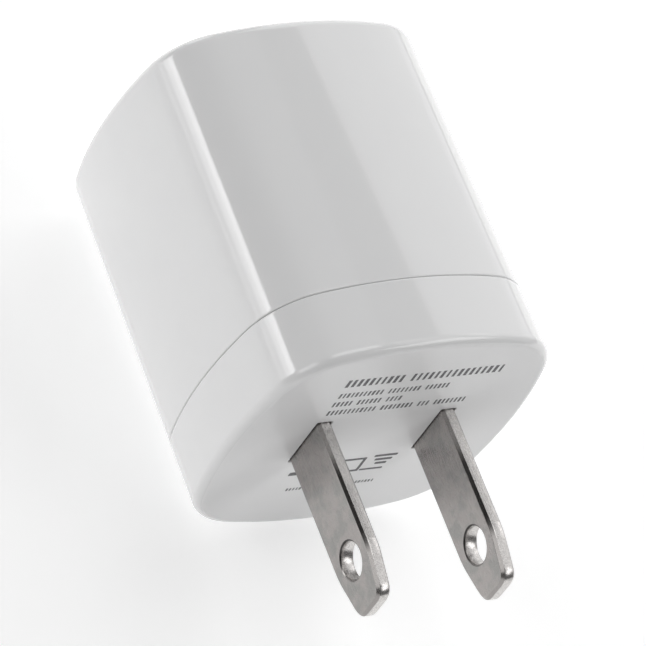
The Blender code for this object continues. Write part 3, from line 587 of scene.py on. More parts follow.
def sleeved_can(name, centre, along, bottom, top, sleeve, band):
    """Capacitor: printed sleeve with its polarity band, bare aluminium end, tinned leads.

    centre is the can's axis, as the two coordinates across it, and along is the axis's letter.
    """
    finish = Finish(name)
    axes = dict(zip("XYZ", finish.axes()))
    depth = axes.pop(along)
    (u, v), (cu, cv) = axes.values(), centre
    radius = ((u - cu) ** 2 + (v - cv) ** 2) ** 0.5
    inside_end = radius < 3.3
    bare = ((depth > top - 0.08) + (depth < bottom + 0.08) > 0.5) * inside_end
    around = (u - cu) / (radius + 0.001)
    dash = (depth % 2.4).band(0.8, 1.7) * (around > 0.93)
    wrap = finish.mix(around > 0.86, sleeve, finish.mix(dash, band, sleeve))
    metal = finish.noise(0.4 * MM, 3)
    aluminium = finish.mix(metal, (0.66, 0.67, 0.68), (0.78, 0.78, 0.79))
    outside = (depth < bottom - 0.05) + (depth > top + 0.05) > 0.5
    is_metal = (bare + outside) > 0.5
    finish.colour(is_metal, wrap, aluminium).set("Metallic", is_metal)
    finish.rough(0.24 + metal * 0.14)
    vent = (abs(u - cu) < 0.12) + (abs(v - cv) < 0.12) > 0.5
    return finish.relief(metal * 0.1 - vent * bare * 0.9, 0.12 * MM)


def ferrite():
    """Sintered ferrite: dull, with pores and ground faces."""
    finish = Finish("ferrite")
    cloud = finish.noise(0.9 * MM, 4)
    finish.colour(cloud, (0.035, 0.035, 0.037), (0.085, 0.083, 0.08))
    finish.rough(0.5 + cloud * 0.25)
    pores = finish.cells(0.16 * MM).ease(0.0, 0.3)
    return finish.relief(pores + cloud * 0.4, 0.02 * MM)


def enamelled_copper():
    finish = Finish("enamelled_copper", Metallic=1.0, Coat_Weight=0.6)
    shade = finish.noise(0.5 * MM, 3)
    finish.colour(shade, (0.60, 0.22, 0.08), (0.82, 0.38, 0.17))
    finish.rough(0.2 + shade * 0.12)
    return finish.relief(finish.noise(0.06 * MM, 2), 0.003 * MM)


def wound_tape(name, pitch=0.0):
    """Polyester tape: yellow, glossy, with trapped-air blotches and, at a pitch, edges of wraps."""
    finish = Finish(name, Coat_Weight=0.25)
    _, _, height = finish.axes()
    air = finish.noise(1.1 * MM, 3)
    finish.colour(air.ease(0.4, 0.65), (0.80, 0.52, 0.05), (0.90, 0.66, 0.13))
    finish.rough(0.22 + air * 0.14)
    surface = finish.noise(0.35 * MM, 3, stretch=(0.3, 0.3, 1))
    if pitch:
        surface = surface * 0.4 - ((height % pitch) < pitch * 0.12) * 0.6
    return finish.relief(surface, 0.03 * MM)


def dipped_blue(lead_level):
    """Dipped disc capacitor: lacquer pooled in soft waves, its bare leads below."""
    finish = Finish("blue_lacquer", Coat_Weight=0.3)
    _, _, height = finish.axes()
    pool = finish.noise(1.4 * MM, 3)
    body = finish.mix(pool, (0.03, 0.13, 0.42), (0.06, 0.24, 0.60))
    tinned_leads(finish, body, height < lead_level)
    finish.rough(0.26 + pool * 0.16)
    return finish.relief(pool, 0.06 * MM)


def chip_part(name, colour, half_length, spots):
    """Chip component: glazed body between soldered end caps.

    spots are the (x, y, turned) places of the parts, in millimetres, that share the finish.
    """
    finish = Finish(name)
    x, y, _ = finish.axes()
    ends = []
    for spot_x, spot_y, turned in spots:
        along, across = (y - spot_y, x - spot_x) if turned else (x - spot_x, y - spot_y)
        near = (abs(along) < half_length + 0.3) * (abs(across) < 1.4)
        ends.append(near * (abs(along) > half_length - 0.4))
    cap = sum(ends, 0.0) > 0.5
    cloud = finish.noise(0.3 * MM, 3)
    glaze = finish.mix(cloud, colour, lighter(colour, 1.5, 0.01))
    finish.colour(cap, glaze, (0.66, 0.66, 0.65)).set("Metallic", cap)
    finish.rough(0.26 + cloud * 0.18)
    return finish.relief(cloud, 0.01 * MM)


def banded_body(name, along, centre, axis_spot, half, radius, body, bands):
    """Axial part: lacquered barrel with colour bands, bare leads at its ends.

    along is the barrel's axis and centre its middle there. axis_spot gives the two coordinates
    across it. bands are (offset, colour) pairs.
    """
    finish = Finish(name)
    axes = dict(zip("XYZ", finish.axes()))
    offset = axes.pop(along) - centre
    (u, v), (cu, cv) = axes.values(), axis_spot
    out = ((u - cu) ** 2 + (v - cv) ** 2) ** 0.5
    lead = ((abs(offset) > half - 0.02) + (out > radius + 0.2)) > 0.5
    cloud = finish.noise(0.7 * MM, 3)
    colour = finish.mix(cloud, body, lighter(body, 1.35))
    for place, ink in bands:
        colour = finish.mix(abs(offset - place) < 0.24, colour, ink)
    tinned_leads(finish, colour, lead)
    finish.rough(0.34 + cloud * 0.2)
    return finish.relief(cloud, 0.03 * MM)


def legged_chip(name, spot, width, dot):
    """Moulded chip: grained epoxy with a pin-one dimple, tinned legs."""
    finish = Finish(name)
    x, y, z = finish.axes()
    across = abs(x - spot[0])
    leg = ((across > width / 2 + 0.02) + (z > BOARD_BOTTOM / MM - 0.15)) > 0.5
    dimple = ((x - spot[0] - dot[0]) ** 2 + (y - spot[1] - dot[1]) ** 2) < 0.16
    grain = finish.noise(0.09 * MM, 3)
    epoxy = finish.mix(grain, (0.022, 0.022, 0.024), (0.05, 0.05, 0.052))
    tinned_leads(finish, finish.mix(dimple, epoxy, (0.10, 0.10, 0.10)), leg)
    finish.rough(0.42 + grain * 0.16)
    return finish.relief(grain * 0.3 - dimple * 1.0, 0.06 * MM)


def soft_jacket(name, colour):
    """Wire jacket: soft, slightly ribbed by the strands beneath."""
    finish = Finish(name, Sheen_Weight=0.05)
    scuff = finish.noise(0.35 * MM, 3)
    finish.colour(scuff, colour, lighter(colour, 1.35, 0.01))
    finish.rough(0.36 + scuff * 0.22)
    return finish.relief(finish.noise(0.15 * MM, 2), 0.01 * MM)


def printed_board(holes):
    """Board: solder mask with traces and pads showing through, bare laminate at the cut edges."""
    finish = Finish("board_mask", Coat_Weight=0.3)
    x, y, z = finish.axes()
    traces = finish.noise(2.6 * MM, 0, stretch=(1, 1, 0.001)).band(0.44, 0.60)
    near = [
        ((x - hole_x) ** 2 + (y - hole_y) ** 2) < (radius + 0.4) ** 2
        for hole_x, hole_y, radius in holes
    ]
    below = z < BOARD_BOTTOM / MM + 0.02
    face = (below + (z > BOARD_TOP / MM - 0.02)) > 0.5
    pad = (sum(near, 0.0) > 0.5) * below
    weave = finish.noise(0.3 * MM, 3)
    mask = finish.mix(traces * face, (0.012, 0.115, 0.05), (0.03, 0.20, 0.085))
    laminate = finish.mix(weave, (0.30, 0.33, 0.16), (0.42, 0.44, 0.25))
    finish.colour(pad, finish.mix(face, laminate, mask), (0.66, 0.65, 0.62)).set("Metallic", pad)
    finish.rough(0.28 + weave * 0.14 + (1 - face) * 0.3)
    return finish.relief(traces * face * 0.7 + weave * 0.15, 0.03 * MM)


def solder():
    finish = Finish("solder", Metallic=1.0)
    frost = finish.noise(0.25 * MM, 3)
    finish.colour(frost, (0.60, 0.60, 0.60), (0.76, 0.76, 0.75)).rough(0.14 + frost * 0.2)
    return finish.relief(frost, 0.02 * MM)


def printing_ink():
    """Pad-printed grey ink, thin in places."""
    finish = Finish("grey_ink")
    thin = finish.noise(0.16 * MM, 3)
    finish.colour(thin.ease(0.4, 0.7), (0.085, 0.085, 0.09), (0.22, 0.22, 0.23))
    finish.rough(0.42 + thin * 0.2)
    return finish.relief(thin, 0.004 * MM)


# ---- case and cap


def corner_centre(top, side):
    """Centre of the corner arc, which touches both the top arc and the side arc from inside."""
    top_reach = TOP_RADIUS - CORNER_RADIUS
    side_reach = SIDE_RADIUS - CORNER_RADIUS
    distance = (side - top).length
    direction = (side - top) / distance
    outward = Vector((direction.y, -direction.x))
    along = (top_reach**2 - side_reach**2 + distance**2) / (2 * distance)
    return top + direction * along + outward * math.sqrt(top_reach**2 - along**2)


def body_outline(shallow=14, corner=18):
    """Two pairs of shallow arcs joined by round corners, as (x, z) points."""
    top = Vector((0, HALF_HEIGHT - TOP_RADIUS))
    side = Vector((HALF_WIDTH - SIDE_RADIUS, 0))
    centre = corner_centre(top, side)
    top_end = math.atan2(centre.y - top.y, centre.x)
    side_end = math.atan2(centre.y, centre.x - side.x)
    quadrant = arc(top, TOP_RADIUS, math.pi / 2, top_end, shallow)
    quadrant += arc(centre, CORNER_RADIUS, top_end, side_end, corner)[1:]
    quadrant += arc(side, SIDE_RADIUS, side_end, 0, shallow)[1:]
    half = quadrant + [(x, -z) for x, z in reversed(quadrant[:-1])]
    return half + [(-x, z) for x, z in reversed(half[1:-1])]


def rounding(inset, depth, radius, deeper, steps):
    """Quarter round at a corner of a wall's section, as (inset, depth) points.

    It runs from the flat end onto the side. deeper is 1 or -1: the way in which depth grows.
    """
    return [
        (inset + radius * (1 - math.sin(a)), depth + deeper * radius * (1 - math.cos(a)))
        for a in (math.pi / 2 * step / steps for step in range(steps + 1))
    ]


def section_shape(points):
    """The section of a wall, drawn in by the draft, with insets along x and depths along -y."""
    return line_of([(inset + depth * math.tan(DRAFT), -depth, 0) for inset, depth in points])


def walled_body(name, section, finish):
    """The wall that the section makes round the outline, closed at both its open ends."""
    helper = set_aside(f"{name}_section", section_shape(section))
    ring = line_of([(x, z, 0) for x, z in body_outline()], closed=True)
    wall = grown(name, ring, wall_pattern(), Section=helper, Material=finish.material)
    shape = bmesh.new()
    shape.from_mesh(wall.data)
    bmesh.ops.remove_doubles(shape, verts=shape.verts, dist=0.002 * MM)
    open_edges = [edge for edge in shape.edges if edge.is_boundary]
    bmesh.ops.holes_fill(shape, edges=open_edges, sides=0)
    bmesh.ops.recalc_face_normals(shape, faces=shape.faces)
    discard(wall, helper)
    return shape


def case_section():
    """From the floor inside the port end, along the wall to the mouth, and back outside."""
    floor = BODY_LENGTH - END_WALL
    mouth = SEAM_DEPTH + SEAM_GAP / 2
    step = mouth + MOUTH_DEPTH
    points = [(WALL + INNER_FILLET + EASE, floor)]
    points += rounding(WALL, floor, INNER_FILLET, -1, 5)
    points += [(WALL, step + EASE), (WALL, step), (WALL - EASE, step)]
    points += [(MOUTH_WALL + EASE, step), (MOUTH_WALL, step - EASE)]
    points += [(MOUTH_WALL, mouth + EASE), (MOUTH_WALL - EASE, mouth)]
    points += rounding(0, mouth, RIM_RADIUS, 1, 4)
    points += [(0, mouth + RIM_RADIUS + EASE), (0, BODY_LENGTH - PORT_EDGE_RADIUS - EASE)]
    points += reversed(rounding(0, BODY_LENGTH, PORT_EDGE_RADIUS, -1, 10))
    return points + [(PORT_EDGE_RADIUS + EASE, BODY_LENGTH)]


def cap_section():
    """From the back of the plug plate, along the lip to its end, back to the rim, and outside."""
    rim = SEAM_DEPTH - SEAM_GAP / 2
    lip_end = rim + LIP_LENGTH
    points = [(LIP_INNER + CAP_FILLET + EASE, PLATE)]
    points += rounding(LIP_INNER, PLATE, CAP_FILLET, 1, 4)
    points += [(LIP_INNER, lip_end - EASE), (LIP_INNER - EASE, lip_end)]
    points += [(LIP_OUTER + 3 * EASE, lip_end), (LIP_OUTER, lip_end - 3 * EASE)]
    points += [(LIP_OUTER, rim + EASE), (LIP_OUTER, rim), (LIP_OUTER - EASE, rim)]
    points += rounding(0, rim, RIM_RADIUS, -1, 4)
    points += [(0, rim - RIM_RADIUS - EASE), (0, PLUG_EDGE_RADIUS + EASE)]
    points += reversed(rounding(0, 0, PLUG_EDGE_RADIUS, 1, 10))
    return points + [(PLUG_EDGE_RADIUS + EASE, 0)]


def board_rails():
    """Two ribs on each side wall that guide the board's long edges."""
    inner, outer = BOARD_HALF_WIDTH - 0.6 * MM, 13.6 * MM
    rib, slack = 1.0 * MM, 0.25 * MM
    run = (END_WALL / 2 - BODY_LENGTH, -12.0 * MM)
    levels = (BOARD_TOP + slack, BOARD_BOTTOM - slack - rib)
    return merged(
        box((side * inner, side * outer), run, (z, z + rib)) for side in (-1, 1) for z in levels
    )


def port_opening():
    """The slot round the port's shell, with a rounded edge at the outer face."""
    gap, edge, corner = 0.22 * MM, 0.35 * MM, 0.75 * MM
    half_u, half_v = SHELL_HALF_WIDTH + gap, SHELL_HALF_HEIGHT + gap
    round_edge = [(depth, flare) for flare, depth in rounding(0, 0, edge, 1, 5)]
    stations = [(-edge, 2 * edge), *round_edge, (END_WALL + MM, 0)]
    rings = []
    for depth, flare in stations:
        outline = rounded_rectangle(half_u + flare, half_v + flare, corner + flare)
        rings.append(ring_at(depth - BODY_LENGTH, outline))
    return loft(rings)


def make_case(finish):
    shape = walled_body("case_wall", case_section(), finish)
    steps = [("UNION", board_rails()), ("DIFFERENCE", port_opening())]
    case = carved("case_shell", shape, steps)
    return finished(case, finish, replaces=["main_case"])


def blade_sockets():
    """Square walls behind the plug plate that hold each blade, and the board's two stops."""
    wall, slack, depth = 1.1 * MM, 0.2 * MM, 6.4 * MM
    half_x = BLADE_THICKNESS / 2 + slack + wall
    half_z = BLADE_WIDTH / 2 + slack + wall
    back = -PLATE / 2
    levels = (BOARD_BOTTOM - 0.6 * MM, BOARD_TOP + 0.6 * MM)
    shapes = []
    for side in (-1, 1):
        x, stop = side * BLADE_SPACING / 2, side * 9.9 * MM
        shapes.append(box((x - half_x, x + half_x), (-depth, back), (-half_z, half_z)))
        shapes.append(box((stop - MM, stop + MM), (-7.75 * MM, back), levels))
    return merged(shapes)


def blade_slots():
    """Close-fitting slots with a fine broken edge at the plug face."""
    slack, edge, relieved, corner = 0.09 * MM, 0.06 * MM, 0.1 * MM, 0.16 * MM
    half_x, half_z = BLADE_THICKNESS / 2 + slack, BLADE_WIDTH / 2 + slack
    stations = [(-10 * MM, relieved), (-3 * MM, relieved), (-2.6 * MM, 0), (-edge, 0)]
    stations.append((edge, 2 * edge))
    return merged(
        loft(
            ring_at(y, rounded_rectangle(half_x + flare, half_z + flare, corner, 3), x)
            for y, flare in stations
        )
        for x in (-BLADE_SPACING / 2, BLADE_SPACING / 2)
    )


def make_cap(finish):
    shape = walled_body("cap_wall", cap_section(), finish)
    steps = [("UNION", blade_sockets()), ("DIFFERENCE", blade_slots())]
    cap = carved("plug_cap", shape, steps)
    return finished(cap, finish, replaces=["base_cap"])


# ---- printing


def dash_spots(x_left, x_right, z, pitch, gaps):
    """Centres of the dashes in one printed line, from the left, leaving out the word gaps."""
    count = int((x_left - x_right) / pitch)
    kept = [i for i in range(count) if i not in gaps]
    return [mm(x_left - pitch * (i + 0.5), 0.002, z) for i in kept]


def make_printing(finish):
    """Rows of plain dashes and a few plain marks where the charger carries its rating print."""
    rows = (
        ("print_title", dash_spots(7.3, -9.1, 9.6, 0.6, (10,)), 0.34, 1.15),
        ("print_line_1", dash_spots(7.1, -4.6, 7.6, 0.42, (11, 20)), 0.24, 0.74),
        ("print_line_2", dash_spots(7.1, -0.3, 6.2, 0.42, (5, 12)), 0.24, 0.74),
        ("print_line_3", dash_spots(7.0, -7.3, 4.8, 0.42, (12, 21, 25)), 0.24, 0.74),
        ("print_foot", dash_spots(5.1, -4.4, -8.3, 0.34, (13,)), 0.2, 0.42),
    )
    tree = dash_pattern()
    for seed, (name, points, length, height) in enumerate(rows, start=3):
        sizes = {"Length": length * MM, "Height": height * MM, "Ink": 0.012 * MM}
        start = loose_points(points)
        line = grown(name, start, tree, Seed=seed, Material=finish.material, **sizes)
        finished(line, finish)
    marks = (
        ("mark_bar", [(0.9, 0.28)], (5.1, -5.5)),
        ("mark_square", [(1.3, 1.15), (1.0, 0.85)], (-0.1, -5.1)),
        ("mark_stack_1", [(1.2, 0.17)], (-3.3, -3.9)),
        ("mark_stack_2", [(0.9, 0.17)], (-3.3, -4.55)),
        ("mark_stack_3", [(0.6, 0.17)], (-3.3, -5.2)),
        ("mark_rule", [(1.2, 0.13)], (-2.7, -6.1)),
    )
    for name, sizes, (x, z) in marks:
        loops = [
            [(x + u, z + v) for u, v in rounded_rectangle(a, b, min(0.1, b * 0.99), 5)]
            for a, b in sizes
        ]
        finished(flat_mark(name, loops), finish)


def flat_mark(name, loops):
    """A thin printed shape between an outer and an inner loop, or inside a single one."""
    low, high = -0.004, 0.008
    levels = [(loops[0], low), (loops[0], high)]
    if len(loops) == 2:
        levels += [(loops[1], high), (loops[1], low)]
    rings = [[mm(u, y, v) for u, v in loop] for loop, y in levels]
    return set_aside(name, loft(rings, closed=len(loops) == 2))


# ---- blades


def blade_outline():
    """Closed outline as (y, z): narrow tail, shoulder, long flank and tapered, rounded tip."""
    half_width, half_tail, notch = BLADE_WIDTH / 2, BLADE_TAIL_WIDTH / 2, 0.5 * MM
    shoulder = -PLATE - 0.3 * MM
    corners = [
        (-BLADE_TAIL, half_tail - notch),
        (-BLADE_TAIL + notch, half_tail),
        (shoulder, half_tail),
        (shoulder, half_width),
        (BLADE_REACH - 4.3 * MM, half_width),
        (BLADE_REACH, half_width - 1.02 * MM),
        (BLADE_REACH, 0),
    ]
    radii = [0.15 * MM, 0.12 * MM, 0.12 * MM, 0.9 * MM, 1.2 * MM]
    half = rounded_path([Vector(corner) for corner in corners], radii)[:-1]
    return [(p.x, p.y) for p in half] + [(p.x, -p.y) for p in reversed(half)]


def drawn_in(loop, distance):
    """A closed outline moved inward all round by the same distance."""
    moved = []
    for i, point in enumerate(loop):
        here = Vector(point)
        ways = (here - Vector(loop[i - 1]), Vector(loop[(i + 1) % len(loop)]) - here)
        normals = [Vector((way.y, -way.x)).normalized() for way in ways]
        middle = (normals[0] + normals[1]).normalized()
        reach = distance / max(middle.dot(normals[0]), 0.5)
        moved.append((point[0] + middle.x * reach, point[1] + middle.y * reach))
    return moved


def flat_sheet(outer, hole, middle):
    """Triangles that fill an outline round a round hole, as (points, faces)."""
    edges, loops, start = [], [], 0
    for loop in (outer, hole):
        span = list(range(start, start + len(loop)))
        edges += zip(span, span[1:] + span[:1])
        loops.append(span)
        start += len(loop)
    corners = [Vector(point) for point in outer + hole]
    points, _, faces, *_ = delaunay_2d_cdt(corners, edges, loops, 1, 1e-9)
    centres = [sum((points[i] for i in face), Vector((0, 0))) / len(face) for face in faces]
    radius = math.dist(hole[0], middle)
    kept = [face for face, centre in zip(faces, centres) if math.dist(centre, middle) > radius]
    return points, kept


def make_blade(name, x, node, finish):
    """A stamped blade: flat faces, bevelled edges, tapered tip, a hole whose rims are broken."""
    half = BLADE_THICKNESS / 2
    outline = blade_outline()
    hole_centre = (BLADE_HOLE_DEPTH, 0)
    crown, draw = 0.03 * MM, 0.02 * MM
    rim_steps = [
        (half, BLADE_BEVEL + 0.05 * MM),
        (half, BLADE_BEVEL + crown),
        (half - draw, BLADE_BEVEL - crown),
        (half - BLADE_BEVEL + crown, draw),
        (half - BLADE_BEVEL - crown, 0),
    ]
    broken = ((0, 0.22), (0, 0.17), (0.03, 0.11), (0.1, 0.03), (0.17, 0))
    hole_steps = [(half - sunk * MM, BLADE_HOLE_RADIUS + wider * MM) for sunk, wider in broken]
    shape = bmesh.new()

    def wall(steps, loop_at):
        """Faces from one side of the blade to the other, by way of each step."""
        stops = steps + [(-level, size) for level, size in reversed(steps)]
        rings = [
            [shape.verts.new((x + level, u, v)) for u, v in loop_at(size)] for level, size in stops
        ]
        for lower, upper in zip(rings, rings[1:]):
            join(shape, lower, upper)

    def edge_at(inset):
        return drawn_in(outline, inset)

    def hole_at(radius):
        return circle(hole_centre, radius)

    wall(rim_steps, edge_at)
    wall(hole_steps, hole_at)
    outer, hole = edge_at(rim_steps[0][1]), hole_at(hole_steps[0][1])
    points, faces = flat_sheet(outer, hole, hole_centre)
    for level in (half, -half):
        corners = [shape.verts.new((x + level, point.x, point.y)) for point in points]
        for face in faces:
            shape.faces.new([corners[i] for i in face])
    bmesh.ops.remove_doubles(shape, verts=shape.verts, dist=0.001 * MM)
    bmesh.ops.recalc_face_normals(shape, faces=shape.faces)
    eye = circle((1.2 * MM - BLADE_TAIL, 0), 0.55 * MM, 20)
    tail_eye = [[(x + side * MM, u, v) for u, v in eye] for side in (-1, 1)]
    blade = carved(name, shape, [("DIFFERENCE", loft(tail_eye))])
    return finished(blade, finish, replaces=[node], sharp_above=24)


# ---- receptacle


def make_port_shell(finish):
    """Folded tin tube: rolled mouth, seam along its floor, grip springs in their windows, legs."""
    edge = 0.08 * MM
    half_u, half_v = SHELL_HALF_WIDTH - SHELL_SHEET, SHELL_HALF_HEIGHT - SHELL_SHEET
    outer = rounded_rectangle(SHELL_HALF_WIDTH, SHELL_HALF_HEIGHT, 0.75 * MM)
    inner = rounded_rectangle(half_u, half_v, 0.45 * MM)
    lip = rounded_rectangle(SHELL_HALF_WIDTH - edge, SHELL_HALF_HEIGHT - edge, 0.7 * MM)
    flare = rounded_rectangle(half_u + 0.14 * MM, half_v + 0.14 * MM, 0.55 * MM)
    rings = [
        ring_at(SHELL_MOUTH + edge, outer),
        ring_at(SHELL_BACK, outer),
        ring_at(SHELL_BACK, inner),
        ring_at(SHELL_MOUTH + 0.35 * MM, inner),
        ring_at(SHELL_MOUTH + 0.06 * MM, flare),
        ring_at(SHELL_MOUTH, lip),
    ]
    level = (SHELL_HALF_HEIGHT - SHELL_SHEET / 2) / MM
    windows, springs, legs = [], [], []
    for x in (-3.1, 3.1):
        for side in (-1, 1):
            windows.append(mm_box((x - 1.25, x + 1.25), (-32.6, -26.2), (side * 2.0, side * 3.4)))
            corners = ((-25.9, 0), (-26.6, 0), (-31.0, 0.35), (-32.1, 0.05))
            corners = [mm(x, y, side * (level - sunk)) for y, sunk in corners]
            path = rounded_path(corners, [0.3 * MM, 0.4 * MM], 4)
            springs.append(soft_strip(path, 1.9 * MM, SHELL_SHEET - 0.02 * MM))
    floor, mouth = -SHELL_HALF_HEIGHT / MM, SHELL_MOUTH / MM
    windows.append(mm_box((-5.2, 5.2), (-22.2, -19.5), (-3.4, -2.0)))
    windows.append(mm_box((-0.04, 0.04), (mouth - 1, -25.5), (floor - 0.1, floor + 0.12)))
    sheet = SHELL_SHEET / 2 / MM
    for side in (-1, 1):
        x = side * (SHELL_HALF_WIDTH / MM - sheet)
        for y in (-30.6, -23.4):
            spans = (x - sheet + 0.01, x + sheet - 0.01), (y - 0.6, y + 0.6)
            legs.append(mm_box(*spans, (BOARD_BOTTOM / MM - 0.8, 0)))
    steps = [("DIFFERENCE", merged(windows)), ("UNION", merged(springs + legs))]
    shell = carved("port_shell", loft(rings, closed=True), steps)
    return finished(shell, finish, replaces=["usb_shell"])


def make_tongue(finish):
    """Insulator: rear block, tongue with a lead-in nose, and grooves for the contacts."""
    half_x = (SHELL_HALF_WIDTH - SHELL_SHEET) / MM - 0.15
    half_z = (SHELL_HALF_HEIGHT - SHELL_SHEET) / MM - 0.15
    block = mm_box((-half_x, half_x), (-25.6, -21.7), (-half_z, half_z))
    tongue = mm_box((-5.55, 5.55), (-33.0, -24.5), (0.02, 1.86))
    grooves = [mm_box((x - 0.7, x + 0.7), (-32.6, -20.0), (-0.47, 0.95)) for x in CONTACTS]
    steps = [("UNION", eased(tongue, 0.3 * MM, 3)), ("DIFFERENCE", merged(grooves))]
    piece = carved("port_tongue", eased(block, 0.12 * MM, 2), steps)
    return finished(piece, finish, replaces=["usb_insulator"])


def make_contact_springs(finish):
    """The sprung beam of each contact, with its rolled crown, on its own body."""
    profile = ((-24.7, -0.12), (-25.9, -0.12), (-30.3, -0.70), (-31.9, -0.24))
    for number, x in enumerate(CONTACTS, start=1):
        path = rounded_path([mm(x, y, z) for y, z in profile], [0.6 * MM, 0.7 * MM], 8)
        beam = set_aside(f"port_spring_{number}", soft_strip(path, MM, 0.25 * MM))
        node = f"usb_contact_spring_{number}"
        finished(beam, finish, f"contact_{number}", replaces=[node])


# ---- board and its parts

# Places of the leads through the board, in millimetres
LEADS = (
    ((-8.95, -5.45), (-14.0,)),
    ((5.85, 3.35, -3.35, -5.85), (-20.0,)),
    ((-10.25, -7.75), (-21.0,)),
    ((9.5,), (-23.4, -19.4)),
    ((9.2,), (-31.3, -25.1)),
    ((-9.2,), (-30.7, -23.9)),
    ((-4.5,), (-8.5,)),
    ((0.6, 4.0, 7.4), (-18.5, -10.1)),
)

# Holes in the board as (x, y, radius), in millimetres
CONTACT_HOLES = tuple((x, -21.2, 0.75) for x in CONTACTS)
LEAD_HOLES = tuple((x, y, 0.5) for xs, ys in LEADS for x in xs for y in ys)
LEG_HOLES = tuple((x, y, 0.9) for x in (-6.415, 6.415) for y in (-30.6, -23.4))
BOARD_HOLES = CONTACT_HOLES + LEAD_HOLES

# Colours of the sleeves, of the small parts and of their bands
NAVY = (0.014, 0.016, 0.03)
TEAL = (0.01, 0.11, 0.09)
SILVER = (0.55, 0.57, 0.6)
STRAW = (0.62, 0.58, 0.36)
BLACK = (0.02, 0.02, 0.02)
EPOXY = (0.02, 0.02, 0.022)
BROWN = (0.30, 0.12, 0.05)
YELLOW = (0.62, 0.50, 0.05)
GOLDEN = (0.62, 0.45, 0.16)


def make_solder(finish):
    """Fillets under the board, round the leads and round the shell's legs."""
    tree = solder_pattern()
    for name, holes, foot, lead, rise in (
        ("solder_leads", BOARD_HOLES, 0.85, 0.34, 0.62),
        ("solder_legs", LEG_HOLES, 1.2, 0.62, 0.66),
    ):
        start = loose_points([mm(x, y, BOARD_BOTTOM / MM - 0.02) for x, y, _ in holes])
        sizes = {"Foot_Radius": foot * MM, "Lead_Radius": lead * MM, "Rise": rise * MM}
        finished(grown(name, start, tree, Material=finish.material, **sizes), finish)


def make_choke_coil(finish):
    """The choke's copper turns, which fill the waist of its drum."""
    low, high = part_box("filter_choke_winding")
    wire = 0.14 * MM
    centre = (low + high) / 2
    height = high.z - low.z - 2 * wire
    sizes = {"Height": height, "Coil_Radius": 1.9 * MM - wire, "Wire_Radius": wire}
    coil = grown(
        "choke_coil",
        line_of([(0, 0, 0), (0, 0, MM)]),
        coil_pattern(),
        Turns=height / (2 * wire),
        Base=(centre.x, centre.y, low.z + wire),
        Material=finish.material,
        **sizes,
    )
    return finished(
        coil, finish, replaces=["filter_choke_winding"], sharp_above=80
    )


def coat_inner_parts(nodes, plated):
    """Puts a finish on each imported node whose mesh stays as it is."""
    diode_bands = ((1.5, (0.6, 0.6, 0.62)),)
    bleeder_bands = ((1.7, BROWN), (0.6, BLACK), (-0.4, YELLOW), (-1.7, GOLDEN))
    fuse_bands = ((-2.6, BROWN), (-1.1, BLACK), (0.3, BLACK), (2.6, GOLDEN))
    upright = ((-7.2, -14.0), "Z", -2.9, 9.1)
    lying = ((4.6, 7.4), "Y", -32.3, -20.9)
    output = ((-4.6, 7.4), *lying[1:])
    finishes = {
        "main_board": printed_board(BOARD_HOLES + LEG_HOLES),
        "input_capacitor_1": sleeved_can("capacitor_upright", *upright, NAVY, SILVER),
        "input_capacitor_2": sleeved_can("capacitor_lying", *lying, NAVY, SILVER),
        "output_capacitor": sleeved_can("capacitor_output", *output, TEAL, STRAW),
        "transformer_tape": wound_tape("core_tape"),
        "transformer_winding": wound_tape("winding_tape", pitch=2.1),
        "transformer_bobbin": dark_moulding("bobbin_moulding"),
        "y_capacitor": dipped_blue(-2.55),
        "bridge_rectifier": legged_chip("bridge_body", (-7.2, -11.4), 4.7, (-1.7, -1.3)),
        "controller_ic": legged_chip("controller_body", (-6.0, -17.0), 3.9, (-1.4, -1.9)),
        "optocoupler": legged_chip("coupler_body", (3.0, -14.3), 6.4, (-2.5, -1.5)),
        "snubber_diode": chip_part("snubber_body", EPOXY, 2.15, [(-9.3, -27.3, True)]),
        "output_diode": banded_body(
            "diode_body", "Y", -28.2, (9.2, -1.5), 2.3, 1.35, EPOXY, diode_bands
        ),
        "bleeder_resistor": banded_body(
            "bleeder_body", "Y", -27.3, (-9.2, -1.7), 2.5, 1.15, (0.42, 0.29, 0.17), bleeder_bands
        ),
        "fuse_resistor": banded_body(
            "fuse_body", "X", 0.4, (-5.0, 8.4), 3.9, 1.5, (0.11, 0.24, 0.14), fuse_bands
        ),
        "live_lead": soft_jacket("red_jacket", (0.42, 0.02, 0.018)),
        "neutral_lead": soft_jacket("blue_jacket", (0.02, 0.05, 0.28)),
    }
    resistors = [(x, y, False) for x in (-3.6, 0.2) for y in (-26.2, -28.2)]
    resistors += [(9.6, -14.4, True), (9.6, -17.8, True)]
    ceramics = [(3.8, -26.2, False), (3.8, -28.2, False), (-10.4, -16.6, True)]
    shared = (
        (chip_part("resistor_glaze", (0.018, 0.018, 0.02), 1.0, resistors), "resistor_", 6),
        (chip_part("ceramic_body", (0.36, 0.25, 0.15), 1.0, ceramics), "ceramic_capacitor_", 3),
        (plated, "usb_contact_", len(CONTACTS)),
    )
    for finish, stem, count in shared:
        finishes.update({f"{stem}{number}": finish for number in range(1, count + 1)})
    cores = ("transformer_core_lower", "transformer_core_upper", "filter_choke_core")
    finishes.update(dict.fromkeys(cores, ferrite()))
    for name, finish in finishes.items():
        nodes[name].data.materials.clear()
        nodes[name].data.materials.append(finish.material)


# ---- floor, light and camera

ROOM_GLOW = 0.12
BACKDROP = 0.93
LIGHT_AIM = mm(0, -9, 0)
KEY_AZIMUTH = 62
KEY_TOP = 19.6
KEY_DISTANCE = 0.6
KEY_WIDTH = 0.26
KEY_HEIGHTS = (0.07, 0.14, 0.235)
KEY_POWER = 0.56

